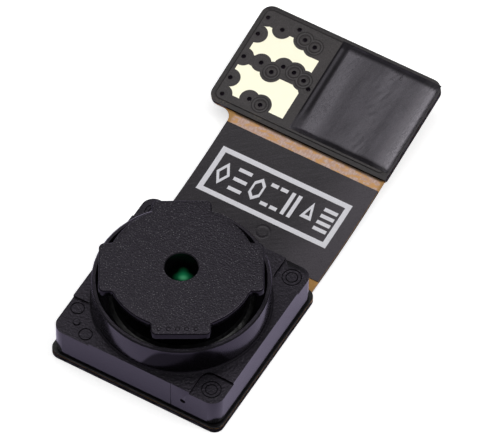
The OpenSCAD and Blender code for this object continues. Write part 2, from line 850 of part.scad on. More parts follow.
// One of seven plain marks that stand for nothing
module mark(i) {
    squeeze = mark_w / mark_h;
    if (i == 0) scale([squeeze, 1]) mark_loop(4, 0);
    if (i == 1) mark_bars(3, mark_w);
    if (i == 2) scale([squeeze, 1]) mark_loop(6, 30);
    if (i == 3)
        for (x = [-1, 1])
            translate([x * (mark_w - mark_line) / 2, 0]) mark_bars(2, 2 * mark_line);
    if (i == 4)
        for (x = [-1, 1])
            translate([x * (mark_w - mark_line) / 3, 0]) square([mark_line, mark_h], center = true);
    if (i == 5) scale([squeeze, 1]) mark_loop(3, 90);
    if (i == 6) mark_bars(4, mark_w);
}

module print_outline() {
    difference() {
        square([frame_w, frame_h], center = true);
        square([frame_w - 2 * frame_line, frame_h - 2 * frame_line], center = true);
    }
    for (i = [0 : 6]) translate([(i - 3) * mark_pitch, 0]) mark(i);
}

module label_print() {
    color("#dcdce0")
        intersection() {
            bent_sheet(-tail_left, tail_right, bend_r - film_t - print_t, print_t);
            translate([frame_x, board_edge + frame_y, 0])
                linear_extrude(2) print_outline();
        }
}

// ---- End board ----

module via_holes(r, z0, z1) {
    for (v = concat(plain_vias, ringed_vias))
        translate([v[0], bare_strip + v[1], z0])
            cylinder(r = r, h = z1 - z0, $fn = fine_fn);
}

// Ground pads as they show through the mask: outlines bitten by the vias' webs
module pad_windows() {
    difference() {
        translate([0, bare_strip]) {
            polygon(far_pad);
            polygon(near_pad);
        }
        for (v = plain_vias)
            translate([v[0], bare_strip + v[1]]) circle(via_web_r, $fn = round_fn);
        for (v = ringed_vias)
            translate([v[0], bare_strip + v[1]]) circle(ring_web_r, $fn = round_fn);
    }
}

module end_board_upper() {
    color("#27282a")
        on_end()
            difference() {
                translate([0, 0, core_t]) linear_extrude(end_upper_t) end_outline(0);
                via_holes(via_r, 0, 1);
            }
}

module end_board_lower() {
    color("#27282a")
        on_end()
            difference() {
                translate([0, 0, -end_lower_t])
                    linear_extrude(end_lower_t) end_outline(0, lower_setback);
                via_holes(via_r, -1, 1);
            }
}

module solder_mask() {
    color("#303134")
        on_end()
            difference() {
                translate([0, 0, end_h]) linear_extrude(mask_t) end_outline(0);
                translate([0, 0, mask_h - rim_step])
                    linear_extrude(1)
                        difference() {
                            end_outline(-1);
                            end_outline(rim_inset);
                        }
                translate([0, 0, end_h - tiny]) linear_extrude(1) pad_windows();
                via_holes(via_r - via_wall, 0, 1);
                for (v = ringed_vias)
                    translate([v[0], bare_strip + v[1], mask_h - rim_step])
                        ring(ring_groove_r, ring_groove_r - ring_groove_w, 1);
            }
}

module ground_pads() {
    color("#f0dd9a")
        on_end() translate([0, 0, end_h]) linear_extrude(pad_t) pad_windows();
}

module via_barrels() {
    color("#8d6a2e")
        on_end()
            difference() {
                via_holes(via_r, -end_lower_t, end_h);
                via_holes(via_r - via_wall, -1, 1);
            }
}

// Outline of the stiffener patch, drawn in by an inset
module patch_outline(inset) {
    round_box(patch_x0 + inset, patch_x1 - inset, patch_y0 + inset, patch_y1 - inset, patch_r,
        $fn = patch_fn);
}

module stiffener_plate() {
    color("#a7a9ad")
        on_end() translate([0, 0, mask_h]) linear_extrude(plate_t) patch_outline(skirt_w);
}

module stiffener_foil() {
    color("#3a3a3e")
        on_end()
            translate([0, 0, mask_h])
                difference() {
                    hull() {
                        linear_extrude(foil_t / 2) patch_outline(0);
                        linear_extrude(plate_t + foil_t) patch_outline(skirt_w - foil_t);
                    }
                    translate([0, 0, -tiny]) linear_extrude(plate_t + tiny) patch_outline(skirt_w);
                }
}

// ---- Board-to-board plug on the end board's underside ----

// Puts its children under the end board, with +Z pointing away from it
module under_end() {
    on_end() translate([plug_x, plug_y, -end_lower_t]) mirror([0, 0, 1]) children();
}

// Side view of one contact: solder foot, riser, crown and inner spring leg
module contact_profile() {
    xo = plug_w / 2;
    xi = xo - plug_wall;
    r = contact_t;
    difference() {
        round_box(xi, xo, -2 * r, plug_h, r);
        translate([xi + contact_t, -1]) square([plug_wall - 2 * contact_t, plug_h - contact_t + 1]);
        translate([xi - tiny, -1]) square([contact_t + 2 * tiny, plug_base_t + 1]);
        translate([xi, -1]) square([plug_wall, 1]);
    }
    translate([xo - contact_t, 0]) square([contact_t + foot_l, contact_t]);
}

module contact_rows() {
    first = -(contacts_per_row - 1) / 2;
    for (side = [0, 1], i = [0 : contacts_per_row - 1])
        mirror([side, 0, 0])
            translate([0, (first + i) * contact_pitch + contact_w / 2, 0])
                rotate([90, 0, 0])
                    linear_extrude(contact_w) contact_profile();
}

// L-shaped metal hold-down at each end of the plug
module hold_downs() {
    for (side = [0, 1])
        mirror([0, side, 0]) {
            translate([-nail_w / 2, plug_l / 2 - contact_t, 0])
                cube([nail_w, contact_t, plug_h * 0.8]);
            translate([-nail_w / 2, plug_l / 2 - contact_t, 0])
                cube([nail_w, contact_t + nail_foot_l, contact_t]);
        }
}

module plug_housing() {
    color("#1e1e20")
        under_end()
            difference() {
                linear_extrude(plug_h) round_rect(plug_w, plug_l, 0.1);
                translate([0, 0, plug_base_t])
                    linear_extrude(plug_h)
                        square([plug_w - 2 * plug_wall, plug_l - 2 * plug_wall], center = true);
                contact_rows();
                hold_downs();
            }
}

module plug_contacts() {
    color("#d9b45a") under_end() contact_rows();
}

module plug_hold_downs() {
    color("#c9c4b4") under_end() hold_downs();
}

lens_holder();
lens_barrel();
front_lens();
front_stop();
middle_lens();
middle_stop();
rear_lens();
lens_retainer();
focus_glue();
ir_filter();
filter_glue();
image_sensor();
die_attach();
bond_wires();
chip_capacitors();
holder_glue();
sensor_board_upper();
sensor_board_lower();
flex_core();
film_upper();
film_lower();
label_print();
end_board_upper();
end_board_lower();
solder_mask();
ground_pads();
via_barrels();
stiffener_plate();
stiffener_foil();
plug_housing();
plug_contacts();
plug_hold_downs();
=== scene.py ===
"""Looks of a small fixed-focus camera module with a flex tail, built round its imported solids."""

import logging
import math
from dataclasses import dataclass
from enum import Enum
from typing import Any, Callable, Sequence

import bmesh
import bpy
import numpy as np
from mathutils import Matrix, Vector

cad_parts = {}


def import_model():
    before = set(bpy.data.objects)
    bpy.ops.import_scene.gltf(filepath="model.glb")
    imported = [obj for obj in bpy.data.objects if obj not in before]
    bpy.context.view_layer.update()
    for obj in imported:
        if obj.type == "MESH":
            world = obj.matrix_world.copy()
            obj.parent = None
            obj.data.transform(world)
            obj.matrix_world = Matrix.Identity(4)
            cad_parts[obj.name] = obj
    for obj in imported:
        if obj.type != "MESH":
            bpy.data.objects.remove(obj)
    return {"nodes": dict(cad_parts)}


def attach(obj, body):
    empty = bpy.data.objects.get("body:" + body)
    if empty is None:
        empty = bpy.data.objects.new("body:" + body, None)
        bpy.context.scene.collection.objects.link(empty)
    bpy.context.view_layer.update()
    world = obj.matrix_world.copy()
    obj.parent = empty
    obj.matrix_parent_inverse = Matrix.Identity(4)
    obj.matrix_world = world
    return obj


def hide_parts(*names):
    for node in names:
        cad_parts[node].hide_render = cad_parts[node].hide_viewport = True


frame: dict[str, Any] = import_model()

LOG = logging.getLogger("camera_module")
MM = 0.001
ROOT = "root"
MERGE = 0.0004  # points of a solid's copy closer than this many millimetres are one
FLAT = 1.2  # faces that turn less than this many degrees are one
Array = np.ndarray
Pair = tuple[float, float]
Triple = tuple[float, float, float]
Colour = Triple

BLACK: Colour = (0.0, 0.0, 0.0)
# flat black that the finishes mix in as painted shade and painted dark reflections
SHADE_BLACK: Colour = (0.003, 0.0025, 0.0035)


class Maths(Enum):
    """What a Math node works out."""

    SUM = "ADD"
    DIFFERENCE = "SUBTRACT"
    PRODUCT = "MULTIPLY"
    QUOTIENT = "DIVIDE"
    POWER = "POWER"
    LARGER = "MAXIMUM"
    SMALLER = "MINIMUM"
    SIZE = "ABSOLUTE"
    SINE = "SINE"
    FRACTION = "FRACT"


# ---------------------------------------------------------------- shader maths


class Val:
    """A shader socket or a plain number that operators combine into Math nodes."""

    def __init__(self, nodes: "Nodes", it: Any) -> None:
        """Holds a socket or a number.

        Args:
            nodes: the node builder that new Math nodes are made in.
            it: an output socket or a number.
        """
        self.nodes = nodes
        self.it = it

    def _math(self, kind: Maths, *values: Any) -> "Val":
        """Returns one Math node's result for the given values."""
        return self.nodes.add("ShaderNodeMath", {"operation": kind.value}, dict(enumerate(values)))

    def __add__(self, other: Any) -> "Val":
        """Sum."""
        return self._math(Maths.SUM, self, other)

    def __sub__(self, other: Any) -> "Val":
        """Difference."""
        return self._math(Maths.DIFFERENCE, self, other)

    def __rsub__(self, other: Any) -> "Val":
        """Difference from a plain number."""
        return self._math(Maths.DIFFERENCE, other, self)

    def __mul__(self, other: Any) -> "Val":
        """Product."""
        return self._math(Maths.PRODUCT, self, other)

    def __truediv__(self, other: Any) -> "Val":
        """Quotient."""
        return self._math(Maths.QUOTIENT, self, other)

    def __pow__(self, other: Any) -> "Val":
        """Power."""
        return self._math(Maths.POWER, self, other)

    __radd__ = __add__
    __rmul__ = __mul__

    def abs(self) -> "Val":
        """Absolute value."""
        return self._math(Maths.SIZE, self)

    def sin(self) -> "Val":
        """Sine of an angle in radians."""
        return self._math(Maths.SINE, self)

    def fract(self) -> "Val":
        """What is left over after the whole number."""
        return self._math(Maths.FRACTION, self)

    def max(self, other: Any) -> "Val":
        """The larger of two values."""
        return self._math(Maths.LARGER, self, other)

    def min(self, other: Any) -> "Val":
        """The smaller of two values."""
        return self._math(Maths.SMALLER, self, other)

    def step(self, low: float, high: float) -> "Val":
        """Smooth step: 0 at or below low, 1 at or above high, also with low and high swapped.

        Args:
            low: value that gives 0.
            high: value that gives 1.

        Returns:
            The smoothed value.
        """
        rise = {"interpolation_type": "SMOOTHSTEP"}
        ends = {"Value": self, "From Min": min(low, high), "From Max": max(low, high)}
        mask = self.nodes.add("ShaderNodeMapRange", rise, ends)
        return mask if low < high else 1.0 - mask


class Nodes:
    """Builds one material's node tree."""

    def __init__(self, name: str) -> None:
        """Makes an empty material with an output node.

        Args:
            name: the material's name.
        """
        self.material = bpy.data.materials.new(name)
        self.material.use_nodes = True
        self.tree = self.material.node_tree
        self.tree.nodes.clear()
        self.out = self.tree.nodes.new("ShaderNodeOutputMaterial")

    def add(
        self,
        kind: str,
        settings: dict[str, Any] | None = None,
        inputs: dict[Any, Any] | None = None,
        out: int | str = 0,
    ) -> Val:
        """Adds one node of any type.

        Args:
            kind: the node's type name.
            settings: its properties, set first.
            inputs: socket name or number to a number, a colour, a Val or a socket.
            out: name or number of the output to return.

        Returns:
            The chosen output as a Val.
        """
        node = self.tree.nodes.new(kind)
        for key, value in (settings or {}).items():
            setattr(node, key, value)
        for key, value in (inputs or {}).items():
            self.feed(node.inputs[key], value)
        return Val(self, node.outputs[out])

    def feed(self, socket: Any, value: Any) -> None:
        """Links a socket to a Val's socket, or sets it to a number or colour.

        Args:
            socket: the input socket.
            value: a Val, an output socket, a number or a colour.
        """
        value = value.it if isinstance(value, Val) else value
        if isinstance(value, bpy.types.NodeSocket):
            self.tree.links.new(value, socket)
        elif isinstance(value, (tuple, list)) and len(value) == 3 and socket.type == "RGBA":
            socket.default_value = (*value, 1.0)
        else:
            socket.default_value = value

    def place(self) -> Val:
        """Object coordinates in millimetres."""
        coords = self.add("ShaderNodeTexCoord", out="Object")
        return self.add("ShaderNodeVectorMath", {"operation": "SCALE"}, {0: coords, "Scale": 1.0 / MM})

    def axes(self, place: Val) -> tuple[Val, Val, Val]:
        """Splits a vector into its three numbers."""
        split = self.add("ShaderNodeSeparateXYZ", inputs={0: place}).it.node
        return tuple(Val(self, socket) for socket in split.outputs)

    def noise(self, place: Val, scale: float, detail: float = 3.0, stretch: Triple = (1.0, 1.0, 1.0)) -> Val:
        """Noise from 0 to 1 with features of about 1/scale millimetres.

        Args:
            place: where the noise is read, in millimetres.
            scale: features to a millimetre.
            detail: octaves.
            stretch: factor along each axis.

        Returns:
            The noise value.
        """
        spot = self.add("ShaderNodeVectorMath", {"operation": "MULTIPLY"}, {0: place, 1: stretch})
        return self.add("ShaderNodeTexNoise", inputs={"Vector": spot, "Scale": scale, "Detail": detail})

    def cells(self, place: Val, scale: float) -> Val:
        """Distance to the nearest random point, for grains and pits."""
        return self.add("ShaderNodeTexVoronoi", inputs={"Vector": place, "Scale": scale})

    def mix(self, share: Any, low: Any, high: Any) -> Val:
        """Colour between low and high.

        Args:
            share: 0 for low and 1 for high.
            low: a colour.
            high: a colour.

        Returns:
            The mixed colour.
        """
        node = self.add("ShaderNodeMix", {"data_type": "RGBA"}).it.node
        for number, value in ((0, share), (6, low), (7, high)):
            self.feed(node.inputs[number], value)
        return Val(self, node.outputs[2])

    def layers(self, base: Any, *coats: tuple[Any, Colour]) -> Any:
        """Lays coats over a base colour, one after another.

        Args:
            base: the first colour.
            *coats: each coat's share and colour.

        Returns:
            The colour on top.
        """
        for share, colour in coats:
            base = self.mix(share, base, colour)
        return base

    def bump(self, height: Val, depth: float, base: Val | None = None) -> Val:
        """Bumped normal.

        Args:
            height: pattern from 0 to 1.
            depth: what 1 stands for, in millimetres.
            base: a normal that this one is laid over.

        Returns:
            The bent normal.
        """
        inputs: dict[str, Any] = {"Height": height, "Distance": depth * MM, "Strength": 1.0}
        if base is not None:
            inputs["Normal"] = base
        return self.add("ShaderNodeBump", inputs=inputs)

    def turned(self, place: Val, angle: float) -> Val:
        """The place turned about Z by an angle in radians, for a slanted pattern."""
        return self.add("ShaderNodeMapping", inputs={"Vector": place, "Rotation": (0.0, 0.0, angle)})

    def facing(self) -> Val:
        """How far the surface faces up: the Z of its normal."""
        return self.axes(self.add("ShaderNodeNewGeometry", out="Normal"))[2]

    def inset(self, x: Val, y: Val, half: Pair, corner: float) -> Val:
        """How far a point lies inside a rounded rectangle centred on zero.

        It is the corner radius, less the length of the part of q over zero, less the larger of q
        where both are under zero, with q the distance past the rectangle of the corners' centres.

        Args:
            x: the point's first coordinate.
            y: its second.
            half: half of the rectangle's width and length.
            corner: its corner radius.

        Returns:
            The inset in millimetres, under zero outside.
        """
        qx, qy = x.abs() - (half[0] - corner), y.abs() - (half[1] - corner)
        past = (qx.max(0.0) ** 2.0 + qy.max(0.0) ** 2.0) ** 0.5
        return corner - past - qx.max(qy).min(0.0)

    def surface(self, dark: Val | None = None, **sockets: Any) -> bpy.types.Material:
        """Ends the tree in one Principled shader.

        Args:
            dark: share of the surface mixed with a flat black diffuse; most finishes use it for painted shade and
                painted dark reflections.
            **sockets: socket names with spaces as underscores, and their values.

        Returns:
            The finished material.
        """
        values = {key.replace("_", " "): value for key, value in sockets.items()}
        shader = self.add("ShaderNodeBsdfPrincipled", inputs=values)
        # painted shade: the dark share mixes in a flat black diffuse
        if dark is not None:
            black = self.add("ShaderNodeBsdfDiffuse", inputs={"Color": SHADE_BLACK})
            shader = self.add("ShaderNodeMixShader", inputs={0: dark, 1: shader, 2: black})
        self.tree.links.new(shader.it, self.out.inputs["Surface"])
        return self.material


@dataclass(frozen=True)
class EndFrame:
    """The end board's own frame: where the bend of the tail stops, turned up by its rise.

    Args:
        y: place of its origin along the tail.
        z: height of its origin.
        rise: its turn, in degrees.
    """

    y: float = 7.9756
    z: float = 0.5416
    rise: float = 10.0

    def lift(self, points: Array) -> Array:
        """Turns points about X by the rise and moves them to the end of the bend.

        Args:
            points: points in the end board's frame, in millimetres.

        Returns:
            The same points in the part's frame.
        """
        cos, sin = math.cos(math.radians(self.rise)), math.sin(math.radians(self.rise))
        x, y, z = points[..., 0], points[..., 1], points[..., 2]
        return np.stack([x, self.y + y * cos - z * sin, self.z + y * sin + z * cos], axis=-1)

    def along(self, y: Val, z: Val) -> Val:
        """How far a point of the part lies along the end board, in millimetres."""
        a = math.radians(self.rise)
        return (y - self.y) * math.cos(a) + (z - self.z) * math.sin(a)


END_FRAME = EndFrame()


def deeper(colour: Colour, factor: float) -> Colour:
    """A colour with each part multiplied by a factor."""
    return tuple(c * factor for c in colour)


# ---------------------------------------------------------------- finishes


@dataclass(frozen=True)
class Finish:
    """A finish with a name; each kind paints its own node tree."""

    name: str

    def material(self) -> bpy.types.Material:
        """The finish's material, made once."""
        title = self.name + "_finish"
        return bpy.data.materials.get(title) or self.paint(Nodes(title))

    def paint(self, n: Nodes) -> bpy.types.Material:
        """Builds the node tree; every kind of finish has its own."""
        raise NotImplementedError


@dataclass(frozen=True)
class MouldedPlastic(Finish):
    """Black moulded plastic: gloss on drawn walls, spark-eroded grain on the faces that look up.

    Args:
        colour: base colour.
        grain: grains to a millimetre.
        grain_depth: depth of the grain in millimetres.
        rough_wall: roughness of smooth walls.
        rough_top: roughness of grained faces.
        ripple: depth of the slow waves in the walls.
        speck: how much lighter the brightest grains are.
        shaded: share of painted shade, a flat black, on the steep sides far from the lens axis.
    """

    colour: Colour = (0.0028, 0.0027, 0.0036)
    grain: float = 18.0
    grain_depth: float = 0.033
    rough_wall: float = 0.12
    rough_top: float = 0.38
    ripple: float = 0.004
    speck: float = 0.95
    shaded: float = 0.6

    def paint(self, n: Nodes) -> bpy.types.Material:
        """Grain and specks where the face looks up, slow ripples elsewhere.

        Args:
            n: the material's node builder.

        Returns:
            The finished material.
        """
        place = n.place()
        up = n.facing().step(0.7, 0.95)
        fine = n.noise(place, self.grain, 2.0)
        coarse = n.noise(place, self.grain * 0.37, 3.0)
        pits = n.cells(place, self.grain * 0.8)
        height = fine * 0.55 + coarse * 0.25 + pits * 0.35
        specks = n.noise(place, self.grain * 1.3, 1.0).step(0.6, 0.74) * up
        tint = n.noise(place, 0.8, 4.0)
        shade = n.mix(tint.step(0.3, 0.7) * 0.5, self.colour, deeper(self.colour, 1.7))
        colour = n.mix(specks * self.speck, shade, (0.13, 0.13, 0.135))
        wave = n.bump(n.noise(place, 1.1, 2.0), self.ripple)
        bumped = n.bump(height * up + fine * (1.0 - up) * 0.03, self.grain_depth, wave)
        dark, dull = self.local(n, place, up, coarse)
        rough = up * (self.rough_top - self.rough_wall) + self.rough_wall + coarse * 0.06 + dull
        return n.surface(dark, Base_Color=colour, Roughness=rough, Normal=bumped, IOR=1.5,
                         Specular_Tint=(0.9, 0.8, 1.0, 1.0))

    def local(self, n: Nodes, place: Val, up: Val, coarse: Val) -> tuple[Val, Any]:
        """Where the plastic is dark or dull: painted shade on steep sides far from the lens axis, dull nowhere.

        Args:
            n: the material's node builder.
            place: the place in millimetres.
            up: 1 where the face looks up.
            coarse: a coarse noise.

        Returns:
            The share of painted shade, and what is added to the roughness.
        """
        x, y, _ = n.axes(place)
        away = (x * x + y * y) ** 0.5
        # painted shade on the steep sides far from the lens axis
        return (1.0 - up) * away.step(2.2, 2.4) * self.shaded, 0.0


@dataclass(frozen=True)
class HolderPlastic(MouldedPlastic):
    """The holder's plastic, with its collar, the dull ring at the collar's foot, the lowered corners, and painted
    shade and a painted dark reflection.

    Args:
        half: half of the holder's width and length.
        corner: its corner radius.
        middle: Y of its centre.
        face: height of its upper face.
        ring: inner radius, outer radius and upper height of the dull ring.
        collar: inner and outer radius of the collar.
        lowered: depth of the lowered corners.
        well: height up to which painted shade darkens the inside of the collar.
        gate: distance of the cut-off gate from the two walls of its corner.
        shadow: direction in X and Y of the collar's side where a dark reflection is painted.
    """

    half: Pair = (3.275, 3.25)
    corner: float = 0.45
    middle: float = 0.055
    face: float = 1.61
    ring: Triple = (3.055, 3.12, 1.67)
    collar: Pair = (2.9, 3.08)
    lowered: float = 0.1
    well: float = 2.81
    gate: float = 0.64
    shadow: Pair = (0.545, -0.839)

    def local(self, n: Nodes, place: Val, up: Val, coarse: Val) -> tuple[Val, Any]:
        """Painted shade along the steps of the lowered corners, their pin marks darkened in patches, a painted dark
        reflection on one side of the collar, painted shade in its well, and its dull foot.

        Args:
            n: the material's node builder.
            place: the place in millimetres.
            up: 1 where the face looks up.
            coarse: a coarse noise.

        Returns:
            The share of painted shade and painted dark reflection, and what is added to the roughness.
        """
        x, y, z = n.axes(place)
        away = (x * x + y * y) ** 0.5
        inner, outer, top = self.ring
        foot = away.step(inner - 0.01, inner) * away.step(outer + 0.02, outer) * z.step(top + 0.02, top)
        inside, outside = self.collar
        collar = away.step(inside - 0.1, inside) * away.step(outside + 0.06, outside) * z.step(top, top + 0.1)
        inset = n.inset(x, y - self.middle, self.half, self.corner)
        corners = inset.step(0.03, 0.045) * away.step(outer + 0.02, outer + 0.05)
        sunk = self.face - self.lowered
        # painted shade along the steps of the lowered corners
        steps = z.step(sunk - 0.007, sunk) * z.step(self.face - 0.012, self.face - 0.024)
        # the pin marks' recesses, darkened in patches
        marks = z.step(sunk - 0.06, sunk - 0.05) * z.step(sunk - 0.012, sunk - 0.022)
        gate_x, gate_y = x + (self.half[0] - self.gate), y + (self.half[1] - self.middle - self.gate)
        stub = (gate_x ** 2.0 + gate_y ** 2.0) ** 0.5
        dark = corners * (steps + marks * (coarse * 1.5 - 0.1)).min(1.0) * stub.step(0.09, 0.13)
        # painted dark reflection on the collar's side toward the shadow direction
        toward = (x * self.shadow[0] + y * self.shadow[1]) / away.max(0.1)
        reach = toward.step(0.83, 0.98) * 1.2 + self.face
        dark = dark.max(collar * (reach - z).step(-0.05, 0.2) * 0.8)
        # painted shade inside the collar's well
        dark = dark.max(away.step(inside, inside - 0.04) * z.step(self.well + 0.07, self.well) * 0.8)
        return dark * 0.92, foot * 0.6 + collar * 0.08


@dataclass(frozen=True)
class Laminate(Finish):
    """Dark glass-epoxy laminate with a faint weave and a rough, cut edge.

    Args:
        colour: base colour.
        weave: threads to a millimetre.
    """

    colour: Colour = (0.004, 0.0035, 0.0045)
    weave: float = 4.5

    def paint(self, n: Nodes) -> bpy.types.Material:
        """A woven bump on the faces and fibres at the cut edge.

        Args:
            n: the material's node builder.

        Returns:
            The finished material.
        """
        place = n.place()
        x, y, _ = n.axes(place)
        side = n.facing().abs().step(0.8, 0.4)
        thread = self.weave * 2.0 * math.pi
        weave = (x * thread).sin() * (y * thread).sin()
        fibre = n.noise(place, 9.0, 4.0, (1.0, 1.0, 6.0))
        chips = n.noise(place, 3.0, 5.0)
        colour = n.layers(
            self.colour,
            (fibre.step(0.45, 0.75) * side * 0.6, (0.03, 0.027, 0.03)),
            (chips.step(0.55, 0.8) * 0.5, deeper(self.colour, 0.5)),
        )
        height = weave * 0.1 * (1.0 - side) + fibre * side + chips * 0.3
        rough = 0.24 + 0.34 * side + chips * 0.15
        dark = side * (0.2 + chips.step(0.4, 0.58) * 0.6)
        return n.surface(dark, Base_Color=colour, Roughness=rough, Normal=n.bump(height, 0.012), IOR=1.5)


@dataclass(frozen=True)
class CoverFilm(Finish):
    """Dark cover film: fine brushed mottling over the flex, with one pressed dimple.

    Args:
        colour: base colour.
        dimple: place of the dimple.
        dimple_r: its radius.
    """

    colour: Colour = (0.0068, 0.0056, 0.0078)
    dimple: Pair = (0.45, 4.68)
    dimple_r: float = 0.24

    def paint(self, n: Nodes) -> bpy.types.Material:
        """Slanted streaks of wear, slow waves, the dimple's ring with painted shade inside it, and a painted sheen
        that makes the film paler towards the right side.

        Args:
            n: the material's node builder.

        Returns:
            The finished material.
        """
        place = n.place()
        x, y, _ = n.axes(place)
        mottle = n.noise(place, 2.2, 5.0, (1.0, 0.7, 1.0))
        streak = n.noise(n.turned(place, 0.9), 3.0, 4.0, (5.0, 0.5, 1.0))
        fine = n.noise(place, 26.0, 2.0)
        away = ((x - self.dimple[0]) ** 2.0 + (y - self.dimple[1]) ** 2.0) ** 0.5
        r = self.dimple_r
        ring = away.step(r * 0.6, r) * away.step(r * 1.35, r)
        # painted shade inside the dimple
        inside = away.step(r * 1.1, r * 0.7)
        # painted sheen: the film made paler towards the right side
        right = (x - (y - 5.0) * 0.1).step(0.7, 2.7)
        colour = n.layers(
            self.colour,
            (mottle.step(0.35, 0.7), deeper(self.colour, 1.45)),
            (streak.step(0.5, 0.85) * 0.5, (0.055, 0.05, 0.061)),
            (inside * 0.35, deeper(self.colour, 0.6)),
            (right * 0.85, (0.058, 0.051, 0.061)),
            (fine.step(0.5, 0.72) * (0.15 + mottle * 0.4), (0.06, 0.054, 0.063)),
            (fine.step(0.46, 0.3) * 0.5, (0.004, 0.0035, 0.0045)),
        )
        height = mottle * 0.9 + streak * 0.55 + fine * 0.5 + ring * 0.8 - inside * 0.4
        rough = 0.3 + mottle * 0.16 - ring * 0.1
        return n.surface(Base_Color=colour, Roughness=rough, Normal=n.bump(height, 0.012), IOR=1.45,
                         Specular_Tint=(1.0, 0.95, 1.0, 1.0))


@dataclass(frozen=True)
class Polyimide(Finish):
    """Amber polyimide core, with bare plated copper where the films stop.

    Args:
        amber: colour of the core.
        strip_from: Y where the bare strip begins, in millimetres.
        strip_to: Y where the end board covers it again.
    """

    amber: Colour = (0.55, 0.27, 0.05)
    strip_from: float = 7.95
    strip_to: float = 8.4

    def paint(self, n: Nodes) -> bpy.types.Material:
        """Amber in general, pinkish plating in patches on the strip with a painted shadow of the end board at its far
        end, and a darkened cut edge.

        Args:
            n: the material's node builder.

        Returns:
            The finished material.
        """
        place = n.place()
        x, y, _ = n.axes(place)
        cloud = n.noise(place, 1.6, 4.0)
        patch = n.noise(place, 3.4, 5.0, (1.0, 2.2, 1.0))
        fine = n.noise(place, 16.0, 3.0, (1.0, 0.5, 1.0))
        strip = y.step(self.strip_from, self.strip_from + 0.03) * y.step(self.strip_to + 0.02, self.strip_to)
        edge = (1.0 - x.step(-2.86, -2.72)) + x.step(3.0, 3.14)
        shadow = y.step(self.strip_to - 0.12, self.strip_to - 0.03)
        amber = n.mix(cloud, self.amber, deeper(self.amber, 0.62))
        plated = n.layers(
            (0.5, 0.31, 0.24),
            (fine.step(0.35, 0.7), (0.63, 0.48, 0.43)),
            (patch.step(0.48, 0.62), (0.62, 0.33, 0.12)),
            (shadow * 0.9, (0.06, 0.035, 0.02)),
        )
        share = strip * (1.0 - edge.min(1.0)) * 0.92
        cut = n.facing().abs().step(0.7, 0.3)
        speck = n.noise(place, 1.5, 4.0).step(0.66, 0.72)
        root = x.step(2.7, 2.9) * y.step(3.95, 3.8) * y.step(2.9, 3.1)
        # the cut edges darkened and mixed with the flat black, apart from specks, the root and the strip
        darkened_edge = cut * (1.0 - speck) * (1.0 - root) * (1.0 - strip)
        colour = n.mix(darkened_edge, n.mix(share, amber, plated), (0.012, 0.009, 0.007))
        return n.surface(darkened_edge * 0.85, Base_Color=colour, Roughness=0.34 + fine * 0.2, Metallic=share * 0.35,
                         Normal=n.bump(fine * 0.4 + patch * 0.6, 0.008), IOR=1.55)


